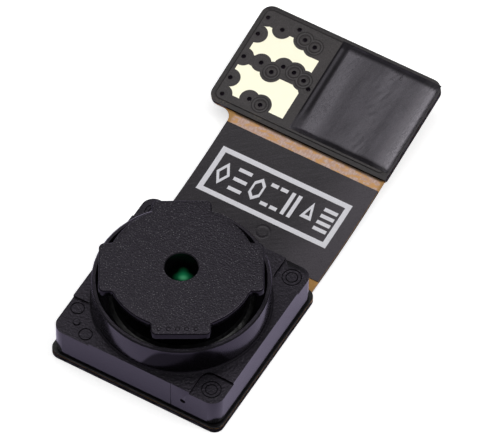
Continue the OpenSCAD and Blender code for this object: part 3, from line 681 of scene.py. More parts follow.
@dataclass(frozen=True)
class SolderMask(Finish):
    """Semi-matte dark mask with fine orange peel, a painted line of shade round the copper, and painted shade and
    highlights in rings round the vias.

    Args:
        colour: colour of the mask.
        middle: middle of the board in its own frame.
        half: half of its width and length.
        corner: its corner radius.
        rim: inset of the copper area.
        glow: how far along the board the amber below shines through.
        plain: plain vias in the board's frame.
        ringed: vias with a groove round them.
    """

    colour: Colour = (0.0245, 0.0195, 0.0205)
    middle: Pair = (-0.39, 2.565)
    half: Pair = (3.57, 2.125)
    corner: float = 0.4
    rim: float = 0.17
    glow: float = 0.54
    plain: tuple[Pair, ...] = (
        (-3.63, 4.18), (-3.63, 3.46), (-2.94, 3.98), (-2.4, 4.26), (-3.62, 2.45), (-2.95, 2.51), (-2.18, 2.72),
        (-0.96, 2.34), (-3.62, 1.51), (-3.55, 0.82), (-2.6, 1.07),
    )
    ringed: tuple[Pair, ...] = (
        (-2.03, 3.99), (-1.58, 3.89), (-2.45, 2.35), (-1.73, 2.69), (-1.27, 2.56), (-2.15, 1.04),
    )

    def paint(self, n: Nodes) -> bpy.types.Material:
        """Fine peel, slow unevenness, faint dust, the copper's line of painted shade, and the vias' rings of painted
        shade and painted highlight.

        Args:
            n: the material's node builder.

        Returns:
            The finished material.
        """
        place = n.place()
        x, y, z = n.axes(place)
        along = END_FRAME.along(y, z)
        inset = n.inset(x - self.middle[0], along - self.middle[1], self.half, self.corner)
        peel = n.noise(place, 13.0, 3.0)
        slow = n.noise(place, 1.4, 4.0)
        dust = n.noise(place, 30.0, 1.0).step(0.68, 0.8)
        grain = n.noise(place, 24.0, 2.0)
        edge = inset.step(self.rim, self.rim - 0.05)
        # painted shade: a dark line along the step at the copper's edge
        line = inset.step(self.rim - 0.03, self.rim) * inset.step(self.rim + 0.03, self.rim)
        glow = along.step(self.glow + 0.25, self.glow) * x.step(-0.6, -2.0) * peel.step(0.4, 0.62)
        out = self.nearest(x, along, self.ringed)
        # painted shade in the grooves round the ringed vias
        groove = out.step(0.175, 0.205) * out.step(0.235, 0.205) + out.step(0.275, 0.3) * out.step(0.34, 0.31)
        # painted highlight on the ring between the grooves
        light = out.step(0.225, 0.25) * out.step(0.285, 0.26)
        out = self.nearest(x, along, self.plain)
        # painted highlight: a faint light ring round the plain vias
        faint = out.step(0.2, 0.22) * out.step(0.26, 0.235)
        colour = n.layers(
            self.colour,
            (slow.step(0.35, 0.7), deeper(self.colour, 1.5)),
            (dust * 0.35, (0.09, 0.084, 0.083)),
            (grain.step(0.52, 0.7) * 0.35, (0.07, 0.06, 0.063)),
            (grain.step(0.45, 0.3) * 0.5, (0.006, 0.005, 0.0055)),
            (edge * (0.35 + slow * 0.3), (0.008, 0.006, 0.007)),
            (line * 0.8, (0.003, 0.0025, 0.003)),
            (glow * slow.step(0.4, 0.6) * 0.3, (0.2, 0.15, 0.09)),
            (groove * (0.2 + peel * 0.5), (0.004, 0.0035, 0.004)),
            (light * (0.1 + peel * 0.4), (0.085, 0.08, 0.085)),
            (faint * 0.15, (0.08, 0.075, 0.08)),
        )
        height = peel * 0.8 + slow - line - groove * 0.28 - edge * 0.6
        rough = 0.36 + slow * 0.15 + (line + groove).min(1.0) * 0.3
        return n.surface(Base_Color=colour, Roughness=rough, Normal=n.bump(height, 0.014), IOR=1.5)

    @staticmethod
    def nearest(x: Val, y: Val, vias: Sequence[Pair]) -> Val:
        """Distance from a point to the nearest of some vias.

        Args:
            x: place across the board.
            y: place along it.
            vias: the vias' places.

        Returns:
            The distance in millimetres.
        """
        squared = Val(x.nodes, 9.0)
        for u, v in vias:
            squared = ((x - u) ** 2.0 + (y - v) ** 2.0).min(squared)
        return squared ** 0.5


@dataclass(frozen=True)
class Plating(Finish):
    """Plated metal with a fine grain.

    Args:
        colour: colour of the metal.
        rough: roughness.
        stain: colour of the tarnish.
        grain: grains to a millimetre.
        metal: metallic value.
    """

    colour: Colour = (1.0, 0.9, 0.62)
    rough: float = 0.3
    stain: Colour = (0.8, 0.62, 0.32)
    grain: float = 20.0
    metal: float = 0.9

    def paint(self, n: Nodes) -> bpy.types.Material:
        """Grainy plating with a little tarnish in slow patches.

        Args:
            n: the material's node builder.

        Returns:
            The finished material.
        """
        place = n.place()
        grain = n.noise(place, self.grain, 3.0)
        patch = n.noise(place, 1.2, 5.0)
        colour = n.mix(patch.step(0.6, 0.85) * 0.3, self.colour, self.stain)
        rough = self.rough + grain * 0.12
        return n.surface(Base_Color=colour, Metallic=self.metal, Roughness=rough, Normal=n.bump(grain, 0.002))


@dataclass(frozen=True)
class WrinkledFoil(Finish):
    """Dark foil with a satin shine, painted sheen and painted shade, and hair-fine scratches along the tail.

    Args:
        colour: base colour.
    """

    colour: Colour = (0.036, 0.033, 0.039)

    def paint(self, n: Nodes) -> bpy.types.Material:
        """Scratches, mottling, and painted sheen in brighter bands over the modelled wrinkles, with painted shade
        along the rim.

        Args:
            n: the material's node builder.

        Returns:
            The finished material.
        """
        place = n.place()
        x, y, z = n.axes(place)
        scratch = n.noise(n.turned(place, 0.35), 4.0, 5.0, (6.0, 0.6, 1.0))
        fine = n.noise(place, 28.0, 2.0)
        slow = n.noise(place, 1.5, 4.0)
        streak = n.noise(place, 0.9, 3.0, (2.4, 0.35, 1.0))
        # painted sheen: bands across the foil where it is made lighter
        left = x.step(-0.45, -0.2) * x.step(0.35, 0.0)
        middle = x.step(1.1, 1.5) * x.step(2.1, 1.8) * 0.4
        right = x.step(2.35, 2.95)
        sheen = ((left * 0.9 + middle + right) * (0.6 + streak * 0.8) + streak.step(0.5, 0.68) * 0.35).min(1.0)
        colour = n.layers(
            self.colour,
            (slow.step(0.3, 0.75), deeper(self.colour, 1.5)),
            (scratch.step(0.55, 0.8) * 0.4, (0.1, 0.094, 0.105)),
            (sheen * 0.5, (0.075, 0.07, 0.08)),
            # painted highlight along the right slope
            (right * x.step(3.1, 3.0) * (0.3 + scratch * 0.6), (0.16, 0.15, 0.165)),
            (fine.step(0.5, 0.72) * 0.35, (0.11, 0.105, 0.115)),
            (fine.step(0.45, 0.3) * 0.4, (0.006, 0.0055, 0.007)),
        )
        rough = 0.44 - sheen * 0.28 + slow * 0.1 + fine * 0.05
        # painted shade along the foil's rim
        dark = self.rim_shade(x, END_FRAME.along(y, z)).min(1.0) * 0.7
        return n.surface(dark, Base_Color=colour, Roughness=rough, Normal=n.bump(scratch * 0.7 + fine * 0.6, 0.014),
                         IOR=1.62, Specular_Tint=(0.95, 0.9, 1.0, 1.0))

    @staticmethod
    def rim_shade(x: Val, along: Val) -> Val:
        """Painted shade along the foil's sloping rim: two bands at the left and one at each other side.

        Args:
            x: place across the end board.
            along: place along it.

        Returns:
            The share, which may pass 1.
        """
        ridge = x.step(-0.74, -0.66) * x.step(-0.56, -0.64)
        left = x.step(-0.32, -0.48) * (0.85 - ridge * 0.5) + x.step(-0.7, -0.78) * 0.4
        right, far = x.step(3.04, 3.1) * 0.8, along.step(4.2, 4.36)
        near = along.step(0.92, 0.8) * x.step(-0.3, 0.6) * 0.6
        return left * along.step(1.0, 1.7) + right + far + near


@dataclass(frozen=True)
class CoatedGlass(Finish):
    """Lens or filter glass over a dark inside, with a coloured anti-reflection coat.

    Args:
        body: colour seen in the glass.
        coat: colour of the coat's reflection.
        glint: colour of a painted glint that glows inside near the axis, black for none.
        spot: place of that painted glint in the plane of the glass.
        turn: cosine and sine of its turn about the axis.
    """

    body: Colour = (0.0005, 0.008, 0.004)
    coat: Colour = (0.05, 0.95, 0.4)
    glint: Colour = BLACK
    spot: Pair = (0.03, 0.07)
    turn: Pair = (0.863, 0.505)

    def paint(self, n: Nodes) -> bpy.types.Material:
        """A dark body with a slow change of colour, a tinted, polished surface and a soft painted glint that glows.

        Args:
            n: the material's node builder.

        Returns:
            The finished material.
        """
        place = n.place()
        slow = n.noise(place, 0.9, 2.0)
        dust = n.noise(place, 24.0, 1.0).step(0.7, 0.8)
        colour = n.layers(
            self.body,
            (slow.step(0.3, 0.7) * 0.6, deeper(self.body, 0.4)),
            (dust * 0.04, (0.2, 0.25, 0.22)),
        )
        lit: dict[str, Any] = {}
        if self.glint != BLACK:
            # painted glint: an emission colour stands in for light reflected inside the lens
            lit = {"Emission_Color": self.light(n, place), "Emission_Strength": 1.0, "Specular_IOR_Level": 0.008}
        return n.surface(Base_Color=colour, Roughness=0.05 + dust * 0.2, Normal=n.bump(slow, 0.001), IOR=1.6,
                         Specular_Tint=(*self.coat, 1.0), **lit)

    def light(self, n: Nodes, place: Val) -> Val:
        """The painted glint, an emission colour: a wide oval, a tall one over it and a small bright core.

        Args:
            n: the material's node builder.
            place: the place in millimetres.

        Returns:
            The colour of the painted glint.
        """
        x, y, _ = n.axes(place)
        cos, sin = self.turn
        u, v = x - self.spot[0], y - self.spot[1]
        across, along = u * cos + v * sin, v * cos - u * sin
        wide = (across * across + (along + 0.04) ** 2.0 * 2.2) ** 0.5
        tall = (across * across * 3.2 + (along - 0.08) ** 2.0 * 1.2) ** 0.5
        core = (across * across + (along + 0.08) ** 2.0 * 2.0) ** 0.5
        bright = tuple(min(1.0, c * 2.0 + 0.1) for c in self.glint)
        return n.layers(
            BLACK,
            (wide.step(0.42, 0.0) * 0.45 + tall.step(0.44, 0.0) * 0.25, self.glint),
            (core.step(0.22, 0.0) * 0.3, bright),
        )


@dataclass(frozen=True)
class PrintInk(Finish):
    """Screen-printed white ink, thinner and broken up towards its edges.

    Args:
        colour: colour of the thick ink.
        thin: colour where it is thin.
    """

    colour: Colour = (0.86, 0.85, 0.9)
    thin: Colour = (0.62, 0.61, 0.66)

    def paint(self, n: Nodes) -> bpy.types.Material:
        """Slight unevenness from the screen's mesh.

        Args:
            n: the material's node builder.

        Returns:
            The finished material.
        """
        place = n.place()
        mesh = n.noise(place, 14.0, 3.0)
        slow = n.noise(place, 1.5, 3.0)
        colour = n.mix(mesh.step(0.4, 0.8) * 0.25 + slow * 0.1, self.colour, self.thin)
        return n.surface(Base_Color=colour, Roughness=0.55 + mesh * 0.15, Normal=n.bump(mesh, 0.004), IOR=1.45)


@dataclass(frozen=True)
class Adhesive(Finish):
    """Cured adhesive with a lumpy, half-glossy skin.

    Args:
        colour: colour of the hollows.
        lump: colour of the lumps.
    """

    colour: Colour = (0.007, 0.007, 0.008)
    lump: Colour = (0.035, 0.034, 0.036)

    def paint(self, n: Nodes) -> bpy.types.Material:
        """Lumps, pits and patches of gloss.

        Args:
            n: the material's node builder.

        Returns:
            The finished material.
        """
        place = n.place()
        lump = n.noise(place, 3.5, 5.0)
        height = lump + n.cells(place, 9.0) * 0.3
        colour = n.mix(lump.step(0.45, 0.75) * 0.6, self.colour, self.lump)
        return n.surface(Base_Color=colour, Roughness=0.2 + lump * 0.4, Normal=n.bump(height, 0.02), IOR=1.5)


@dataclass(frozen=True)
class Silicon(Finish):
    """Sensor die: polished border, and a fine coloured raster in the imaging field.

    Args:
        border: colour round the field.
        half: half of the field's width and length.
        raster: turn of the raster's waves, in radians a millimetre.
    """

    border: Colour = (0.16, 0.16, 0.17)
    half: Pair = (1.8, 1.4)
    raster: float = 80.0

    def paint(self, n: Nodes) -> bpy.types.Material:
        """A fine grid of cells with a slow play of colour.

        Args:
            n: the material's node builder.

        Returns:
            The finished material.
        """
        place = n.place()
        x, y, _ = n.axes(place)
        wide, long = self.half
        inside = x.abs().step(wide + 0.05, wide) * y.abs().step(long + 0.05, long)
        cells = (x * self.raster).sin() * (y * self.raster).sin()
        slow = n.noise(place, 0.5, 2.0)
        play = n.mix(slow.step(0.3, 0.7), (0.05, 0.09, 0.11), (0.1, 0.06, 0.12))
        colour = n.mix(inside, self.border, play)
        return n.surface(Base_Color=colour, Roughness=0.16 + slow * 0.05, Metallic=0.3, Normal=n.bump(cells, 0.001))


@dataclass(frozen=True)
class Ceramic(Finish):
    """Fired ceramic chip bodies between tinned ends.

    Args:
        half_body: half of the bare ceramic's length.
        pitch: spacing of the chips.
        tin: colour of the ends.
    """

    half_body: float = 0.16
    pitch: float = 1.3
    tin: Colour = (0.72, 0.71, 0.69)

    def paint(self, n: Nodes) -> bpy.types.Material:
        """Tan ceramic in the middle of each chip and tin at its ends.

        Args:
            n: the material's node builder.

        Returns:
            The finished material.
        """
        place = n.place()
        x, _, _ = n.axes(place)
        local = (x / self.pitch + 0.5).fract() * self.pitch - self.pitch / 2
        ends = local.abs().step(self.half_body - 0.01, self.half_body + 0.01)
        fired = n.noise(place, 18.0, 4.0)
        body = n.mix(fired, (0.3, 0.19, 0.1), (0.42, 0.29, 0.17))
        return n.surface(Base_Color=n.mix(ends, body, self.tin), Metallic=ends * 0.9,
                         Roughness=0.42 - ends * 0.1 + fired * 0.1, Normal=n.bump(fired, 0.004))


# ---------------------------------------------------------------- mesh helpers


def grid_faces(rows: int, cols: int, close_rows: bool = False, close_cols: bool = True) -> Array:
    """Four-sided faces of a grid of points numbered row by row.

    Args:
        rows: number of rows of points.
        cols: points in a row.
        close_rows: whether the last row joins the first.
        close_cols: whether each row is a closed loop.

    Returns:
        Point numbers, one row of four for each face.
    """
    row, col = np.arange(rows if close_rows else rows - 1), np.arange(cols if close_cols else cols - 1)
    r, c = np.repeat(row, len(col)), np.tile(col, len(row))
    r2, c2 = (r + 1) % rows, (c + 1) % cols
    return np.stack([r * cols + c, r * cols + c2, r2 * cols + c2, r2 * cols + c], axis=1)


def enclosed(points: Array, faces: Array) -> float:
    """Signed volume inside closed faces: the sum of the tetrahedra from the origin to each half face."""
    a, b, c, d = (points[faces[:, i]] for i in range(4))
    return float((np.cross(a, b) * c).sum() + (np.cross(a, c) * d).sum()) / 6.0


def link(name: str, data: Any) -> bpy.types.Object:
    """Makes an object and puts it into the scene.

    Args:
        name: the object's name.
        data: its mesh, lamp or camera.

    Returns:
        The new object.
    """
    body = bpy.data.objects.new(name, data)
    bpy.context.scene.collection.objects.link(body)
    return body


def put(name: str, points: Array, faces: Array, finish: Finish, crease: float = 35.0) -> bpy.types.Object:
    """Makes a mesh object with its points in place and its faces outwards.

    Args:
        name: name of the piece.
        points: its points in millimetres.
        faces: its four-sided faces.
        finish: the finish it takes.
        crease: edges sharper than this many degrees stay crisp.

    Returns:
        The new object.
    """
    if enclosed(points, faces) < 0:
        faces = faces[:, ::-1]
    mesh = bpy.data.meshes.new(name)
    mesh.from_pydata((points * MM).tolist(), [], faces.tolist())
    mesh.update()
    mesh.shade_smooth()
    mesh.set_sharp_from_angle(angle=math.radians(crease))
    mesh.materials.append(finish.material())
    return link(name, mesh)


def settle(piece: bpy.types.Object, slot: str, *nodes: str) -> None:
    """Makes a piece ride on the body, hides and names the solids it stands for, and reports it.

    Args:
        piece: the finished piece.
        slot: not used.
        *nodes: the solids that it stands for.
    """
    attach(piece, ROOT)
    if nodes:
        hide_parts(*nodes)
    LOG.info("%s: %d faces, stands for %s", piece.name, len(piece.data.polygons), ", ".join(nodes) or "nothing")


def edge_turns(mesh: bpy.types.Mesh) -> Array:
    """Angle between the two faces at each edge: the arc cosine of their normals' product.

    Args:
        mesh: the mesh.

    Returns:
        Angles in degrees, 0 at an edge that doesn't join just two faces.
    """
    corner_edge = np.empty(len(mesh.loops), int)
    mesh.loops.foreach_get("edge_index", corner_edge)
    size = np.empty(len(mesh.polygons), int)
    mesh.polygons.foreach_get("loop_total", size)
    normal = np.empty(3 * len(mesh.polygons))
    mesh.polygons.foreach_get("normal", normal)
    corner_normal = np.repeat(normal.reshape(-1, 3), size, axis=0)[np.argsort(corner_edge, kind="stable")]
    faces = np.bincount(corner_edge, minlength=len(mesh.edges))
    first = (np.cumsum(faces) - faces)[faces == 2]
    turns = np.zeros(len(mesh.edges))
    cosine = (corner_normal[first] * corner_normal[first + 1]).sum(axis=1)
    turns[faces == 2] = np.degrees(np.arccos(np.clip(cosine, -1.0, 1.0)))
    return turns


def edge_middles(mesh: bpy.types.Mesh) -> Array:
    """Middle of each edge: the mean of its two ends.

    Args:
        mesh: the mesh.

    Returns:
        The middles in millimetres.
    """
    ends = np.empty(2 * len(mesh.edges), int)
    mesh.edges.foreach_get("vertices", ends)
    spots = np.empty(3 * len(mesh.vertices))
    mesh.vertices.foreach_get("co", spots)
    return spots.reshape(-1, 3)[ends.reshape(-1, 2)].mean(axis=1) / MM


def cleaned(node: str, name: str) -> bpy.types.Mesh:
    """A copy of a solid's mesh with its doubles merged and its flat faces joined.

    Args:
        node: the solid's name.
        name: the copy's name.

    Returns:
        The copy.
    """
    mesh = frame["nodes"][node].data.copy()
    mesh.name = name
    work = bmesh.new()
    work.from_mesh(mesh)
    bmesh.ops.remove_doubles(work, verts=work.verts, dist=MERGE * MM)
    bmesh.ops.dissolve_degenerate(work, edges=work.edges, dist=MERGE * MM)
    bmesh.ops.dissolve_limit(work, angle_limit=math.radians(FLAT), verts=work.verts, edges=work.edges)
    work.to_mesh(mesh)
    work.free()
    return mesh


def eased(
    node: str,
    name: str,
    width: float,
    finish: Finish,
    segments: int = 3,
    limit: float = 40.0,
    spare: Callable[[Array], Array] | None = None,
) -> bpy.types.Object:
    """A copy of a solid with its edges rounded.

    Args:
        node: the solid's name.
        name: the piece's name.
        width: width of the rounding in millimetres.
        finish: the finish it takes.
        segments: steps across the rounding.
        limit: edges sharper than this many degrees are rounded.
        spare: says from the edges' middles, in millimetres, which edges stay crisp.

    Returns:
        The new piece.
    """
    mesh = cleaned(node, name)
    sharp = edge_turns(mesh) > limit
    crisp = sharp & spare(edge_middles(mesh)) if spare else np.zeros_like(sharp)
    weights = (sharp & ~crisp).astype(np.float32)
    mesh.attributes.new("bevel_weight_edge", "FLOAT", "EDGE").data.foreach_set("value", weights)
    mesh.attributes.new("sharp_edge", "BOOLEAN", "EDGE").data.foreach_set("value", crisp)
    mesh.materials.clear()
    mesh.materials.append(finish.material())
    mesh.shade_smooth()
    piece = link(name, mesh)
    bevel = piece.modifiers.new("eased edges", "BEVEL")
    bevel.width = width * MM
    bevel.segments = segments
    bevel.limit_method = "WEIGHT"
    weighted = piece.modifiers.new("even shading", "WEIGHTED_NORMAL")
    weighted.weight = 90
    weighted.keep_sharp = True
    return piece


def arc(x: float, y: float, r: float, start: float, end: float, count: int) -> Array:
    """Points on a circle's arc, in degrees from start up to but not at end."""
    a = np.radians(np.linspace(start, end, count, endpoint=False))
    return np.stack([x + r * np.cos(a), y + r * np.sin(a)], axis=1)


def outward(loop: Array) -> Array:
    """Unit normals of a closed loop that runs anticlockwise: its mean edge direction turned right.

    Args:
        loop: the loop's points.

    Returns:
        A normal for each point.
    """
    step = np.roll(loop, -1, axis=0) - loop
    step /= np.linalg.norm(step, axis=1, keepdims=True)
    mean = step + np.roll(step, 1, axis=0)
    mean /= np.linalg.norm(mean, axis=1, keepdims=True)
    return np.stack([mean[:, 1], -mean[:, 0]], axis=1)


def round_loop(x0: float, x1: float, y0: float, y1: float, radii: Sequence[float], step: float = 0.05) -> Array:
    """Closed outline of a rectangle with round corners: four arcs, then points at even steps along them.

    Args:
        x0: left side.
        x1: right side.
        y0: near side.
        y1: far side.
        radii: radii at the near right, far right, far left and near left corners.
        step: spacing of the points.

    Returns:
        Points of the loop, anticlockwise.
    """
    a, b, c, d = radii
    rough = np.concatenate([
        arc(x1 - a, y0 + a, a, -90.0, 0.01, 13), arc(x1 - b, y1 - b, b, 0.0, 90.01, 13),
        arc(x0 + c, y1 - c, c, 90.0, 180.01, 13), arc(x0 + d, y0 + d, d, 180.0, 270.01, 13),
    ])
    closed = np.vstack([rough, rough[:1]])
    run = np.concatenate([[0.0], np.cumsum(np.linalg.norm(np.diff(closed, axis=0), axis=1))])
    even = np.linspace(0.0, run[-1], int(run[-1] / step), endpoint=False)
    return np.stack([np.interp(even, run, closed[:, i]) for i in (0, 1)], axis=1)


def waves(u: Array, v: Array, seed: int, count: int, long: float, short: float) -> Array:
    """Smooth random surface: the sum of seeded cosines in random directions, over the root of their number.

    Args:
        u: first coordinate of each point.
        v: second coordinate.
        seed: what makes the waves always the same.
        count: number of cosines.
        long: longest wave.
        short: shortest wave.

    Returns:
        Heights, most of them between -1 and 1.
    """
    rng = np.random.default_rng(seed)
    turn, phase = rng.uniform(0, 2 * np.pi, (2, count))
    rate = 2 * np.pi / np.exp(rng.uniform(np.log(short), np.log(long), count))
    spread = np.cos((np.cos(turn) * u[..., None] + np.sin(turn) * v[..., None]) * rate + phase)
    return spread.sum(axis=-1) / math.sqrt(count)


def smooth(t: Array) -> Array:
    """Smooth step from 0 to 1: three t squared less two t cubed, with t held in that range."""
    t = np.clip(t, 0.0, 1.0)
    return t * t * (3 - 2 * t)


# ---------------------------------------------------------------- sub-assemblies


@dataclass
class Barrel:
    """The lens barrel: a round cap with four grip tabs over a plain cylinder, and its stepped bores.

    Args:
        cap_r: radius of the cap.
        reach: how far the tabs reach.
        half_w: half of a tab's width.
        corner_r: corner radius of a tab.
        root_r: radius where a tab joins the cap.
        edge_r: rounding of the upper edge.
        skirt: inset and height of the slope under the cap's rim.
        turn: turn of the tabs about the axis, in degrees.
        low: height of the cylinder's end.
        base: height of the cap's underside.
        top: height of the cap's face.
        body_r: radius of the cylinder.
        hole_r: radius of the opening.
        bevel: width of the opening's bevel.
        bores: radius and height pairs of the stepped bores, from the opening's cone down.
        face_loops: shares of the way from the opening to the rim at which the face has a loop.
        dot_x: where the domes stand along the front tab.
        dot_y: how far out they stand.
        dot_size: radius, height and depth in the tab of a dome.
        plastic: the barrel's finish.
    """

    cap_r: float = 2.55
    reach: float = 2.8
    half_w: float = 1.02
    corner_r: float = 0.2
    root_r: float = 0.1
    edge_r: float = 0.07
    skirt: Pair = (0.16, 0.19)
    turn: float = 30.3
    low: float = 1.3
    base: float = 3.05
    top: float = 3.51
    body_r: float = 2.3
    hole_r: float = 0.57
    bevel: float = 0.03
    bores: tuple[Pair, ...] = (
        (0.57, 2.85), (0.78, 2.73), (1.29, 2.73), (1.29, 2.37), (1.57, 2.37), (1.57, 2.02), (1.87, 2.02), (1.87, 1.3),
    )
    face_loops: tuple[float, ...] = (0.03, 0.2, 0.45, 0.7, 0.9)
    dot_x: tuple[float, ...] = (-0.74, -0.43, -0.12, 0.19, 0.5)
    dot_y: float = -2.58
    dot_size: Triple = (0.085, 0.037, 0.004)
    plastic: Finish = MouldedPlastic("barrel_plastic", rough_wall=0.1)

    def outline(self) -> Array:
        """Outline of the cap: half a tab and an eighth of the circle, mirrored and turned four times.

        Returns:
            Points of the closed loop, anticlockwise.
        """
        root_y = self.half_w + self.root_r
        root_x = math.sqrt((self.cap_r + self.root_r) ** 2 - root_y ** 2)
        root = math.degrees(math.atan2(root_y, root_x))
        corner_x, corner_y = self.reach - self.corner_r, self.half_w - self.corner_r
        tip = np.stack([np.full(8, self.reach), np.linspace(0, corner_y, 8, endpoint=False)], axis=1)
        side = np.stack([np.linspace(corner_x, root_x, 3, endpoint=False), np.full(3, self.half_w)], axis=1)
        half = np.concatenate([
            tip, arc(corner_x, corner_y, self.corner_r, 0, 90, 10), side,
            arc(root_x, root_y, self.root_r, 270, 180 + root, 6), arc(0, 0, self.cap_r, root, 45, 16),
        ])
        middle = np.array([[self.cap_r, self.cap_r]]) / math.sqrt(2)
        quarter = np.concatenate([half, middle, half[:0:-1, ::-1]])
        turns = np.radians(self.turn + np.arange(4) * 90)
        turned = [quarter @ np.array([[np.cos(a), np.sin(a)], [-np.sin(a), np.cos(a)]]) for a in turns]
        return np.concatenate(turned)

    def rings(self) -> Array:
        """Loops from the cone over the face, down the sides and back up the bores.

        A loop is a circle, the outline drawn in along its normals, or a share of each.

        Returns:
            Points by loop and place in the loop.
        """
        loop = self.outline()
        normal = outward(loop)
        angle = np.arctan2(loop[:, 1], loop[:, 0])
        unit = np.stack([np.cos(angle), np.sin(angle)], axis=1)
        inner, outer = unit * (self.hole_r + self.bevel), loop - normal * self.edge_r
        rows = [(unit * r, z) for r, z in self.bores[1::-1]]
        rows += [(unit * self.hole_r, self.top - self.bevel), (inner, self.top)]
        rows += [(inner * (1 - share) + outer * share, self.top) for share in self.face_loops]
        for a in np.radians(np.linspace(0, 90, 6)):
            rows.append((loop - normal * self.edge_r * (1 - np.sin(a)), self.top - self.edge_r * (1 - np.cos(a))))
        rows += [(loop, self.base + self.skirt[1]), (loop - normal * self.skirt[0], self.base)]
        rows += [(unit * self.body_r, self.base), (unit * self.body_r, self.low)]
        rows += [(unit * r, z) for r, z in self.bores[:1:-1]]
        return np.stack([np.column_stack([xy, np.full(len(xy), z)]) for xy, z in rows])

    def dots(self) -> tuple[Array, Array]:
        """Small domes on the front tab: height falls as one less the radius squared, to the power 0.7.

        Returns:
            The points and faces of all the domes.
        """
        size, high, sunk = self.dot_size
        around, rise = np.radians(np.arange(16) * 22.5), np.linspace(0, 1, 6)[:, None]
        spread = size * np.maximum(rise, 0.02)
        x = np.array(self.dot_x)[:, None, None] + spread * np.cos(around)
        y = np.broadcast_to(self.dot_y + spread * np.sin(around), x.shape)
        z = np.broadcast_to(self.top - sunk + high * (1 - rise ** 2) ** 0.7, x.shape)
        cos, sin = math.cos(math.radians(self.turn)), math.sin(math.radians(self.turn))
        points = np.stack([x * cos - y * sin, x * sin + y * cos, z], axis=-1).reshape(-1, 3)
        dome = grid_faces(6, 16)[:, ::-1]
        faces = dome + (len(around) * len(rise) * np.arange(len(self.dot_x)))[:, None, None]
        return points, faces.reshape(-1, 4)

    def build(self) -> None:
        """Builds the barrel and its row of domes."""
        rings = self.rings()
        points, faces = rings.reshape(-1, 3), grid_faces(*rings.shape[:2], close_rows=True)
        barrel = put("barrel", points, faces, self.plastic)
        settle(barrel, "barrel_plastic", "lens_barrel")
        points, faces = self.dots()
        settle(put("tab_dots", points, faces, self.plastic), "barrel_plastic")


def dress(finishes: dict[str, Finish]) -> None:
    """Gives solids that keep their shape their finishes.

    Args:
        finishes: node name to finish.
    """
    for node, finish in finishes.items():
        materials = frame["nodes"][node].data.materials
        materials.clear()
        materials.append(finish.material())
        LOG.info("%s: dressed as %s", node, finish.name)


@dataclass
class Optics:
    """Lenses, stops, filter and sensor, which keep their solids' shapes.

    Args:
        glint: colour of the glint painted as a glow in the front lens.
        stop: finish of the ring stops.
    """

    glint: Colour = (0.008, 0.17, 0.065)
    stop: Finish = Adhesive("stop_film")

    def build(self) -> None:
        """Dresses each node."""
        dress({
            "front_lens": CoatedGlass("lens_front_coat", body=(0.0004, 0.0012, 0.0008), glint=self.glint),
            "middle_lens": CoatedGlass("lens_inner_coat", body=(0.012, 0.03, 0.04), coat=(0.5, 0.6, 1.0)),
            "rear_lens": CoatedGlass("lens_rear_coat", body=(0.02, 0.03, 0.03), coat=(0.8, 0.6, 1.0)),
            "front_stop": self.stop,
            "middle_stop": self.stop,
            "lens_retainer": MouldedPlastic("retainer_plastic", rough_wall=0.4),
            "focus_glue": Adhesive("locking_adhesive"),
            "ir_filter": CoatedGlass("filter_coat", body=(0.02, 0.06, 0.09), coat=(1.0, 0.45, 0.35)),
            "filter_glue": Adhesive("filter_adhesive"),
            "image_sensor": Silicon("sensor_silicon"),
            "die_attach": Adhesive("die_film", colour=(0.3, 0.28, 0.2)),
            "bond_wires": Plating("wire_gold", colour=(0.95, 0.7, 0.3), rough=0.22),
            "chip_capacitors": Ceramic("capacitor_ceramic"),
        })


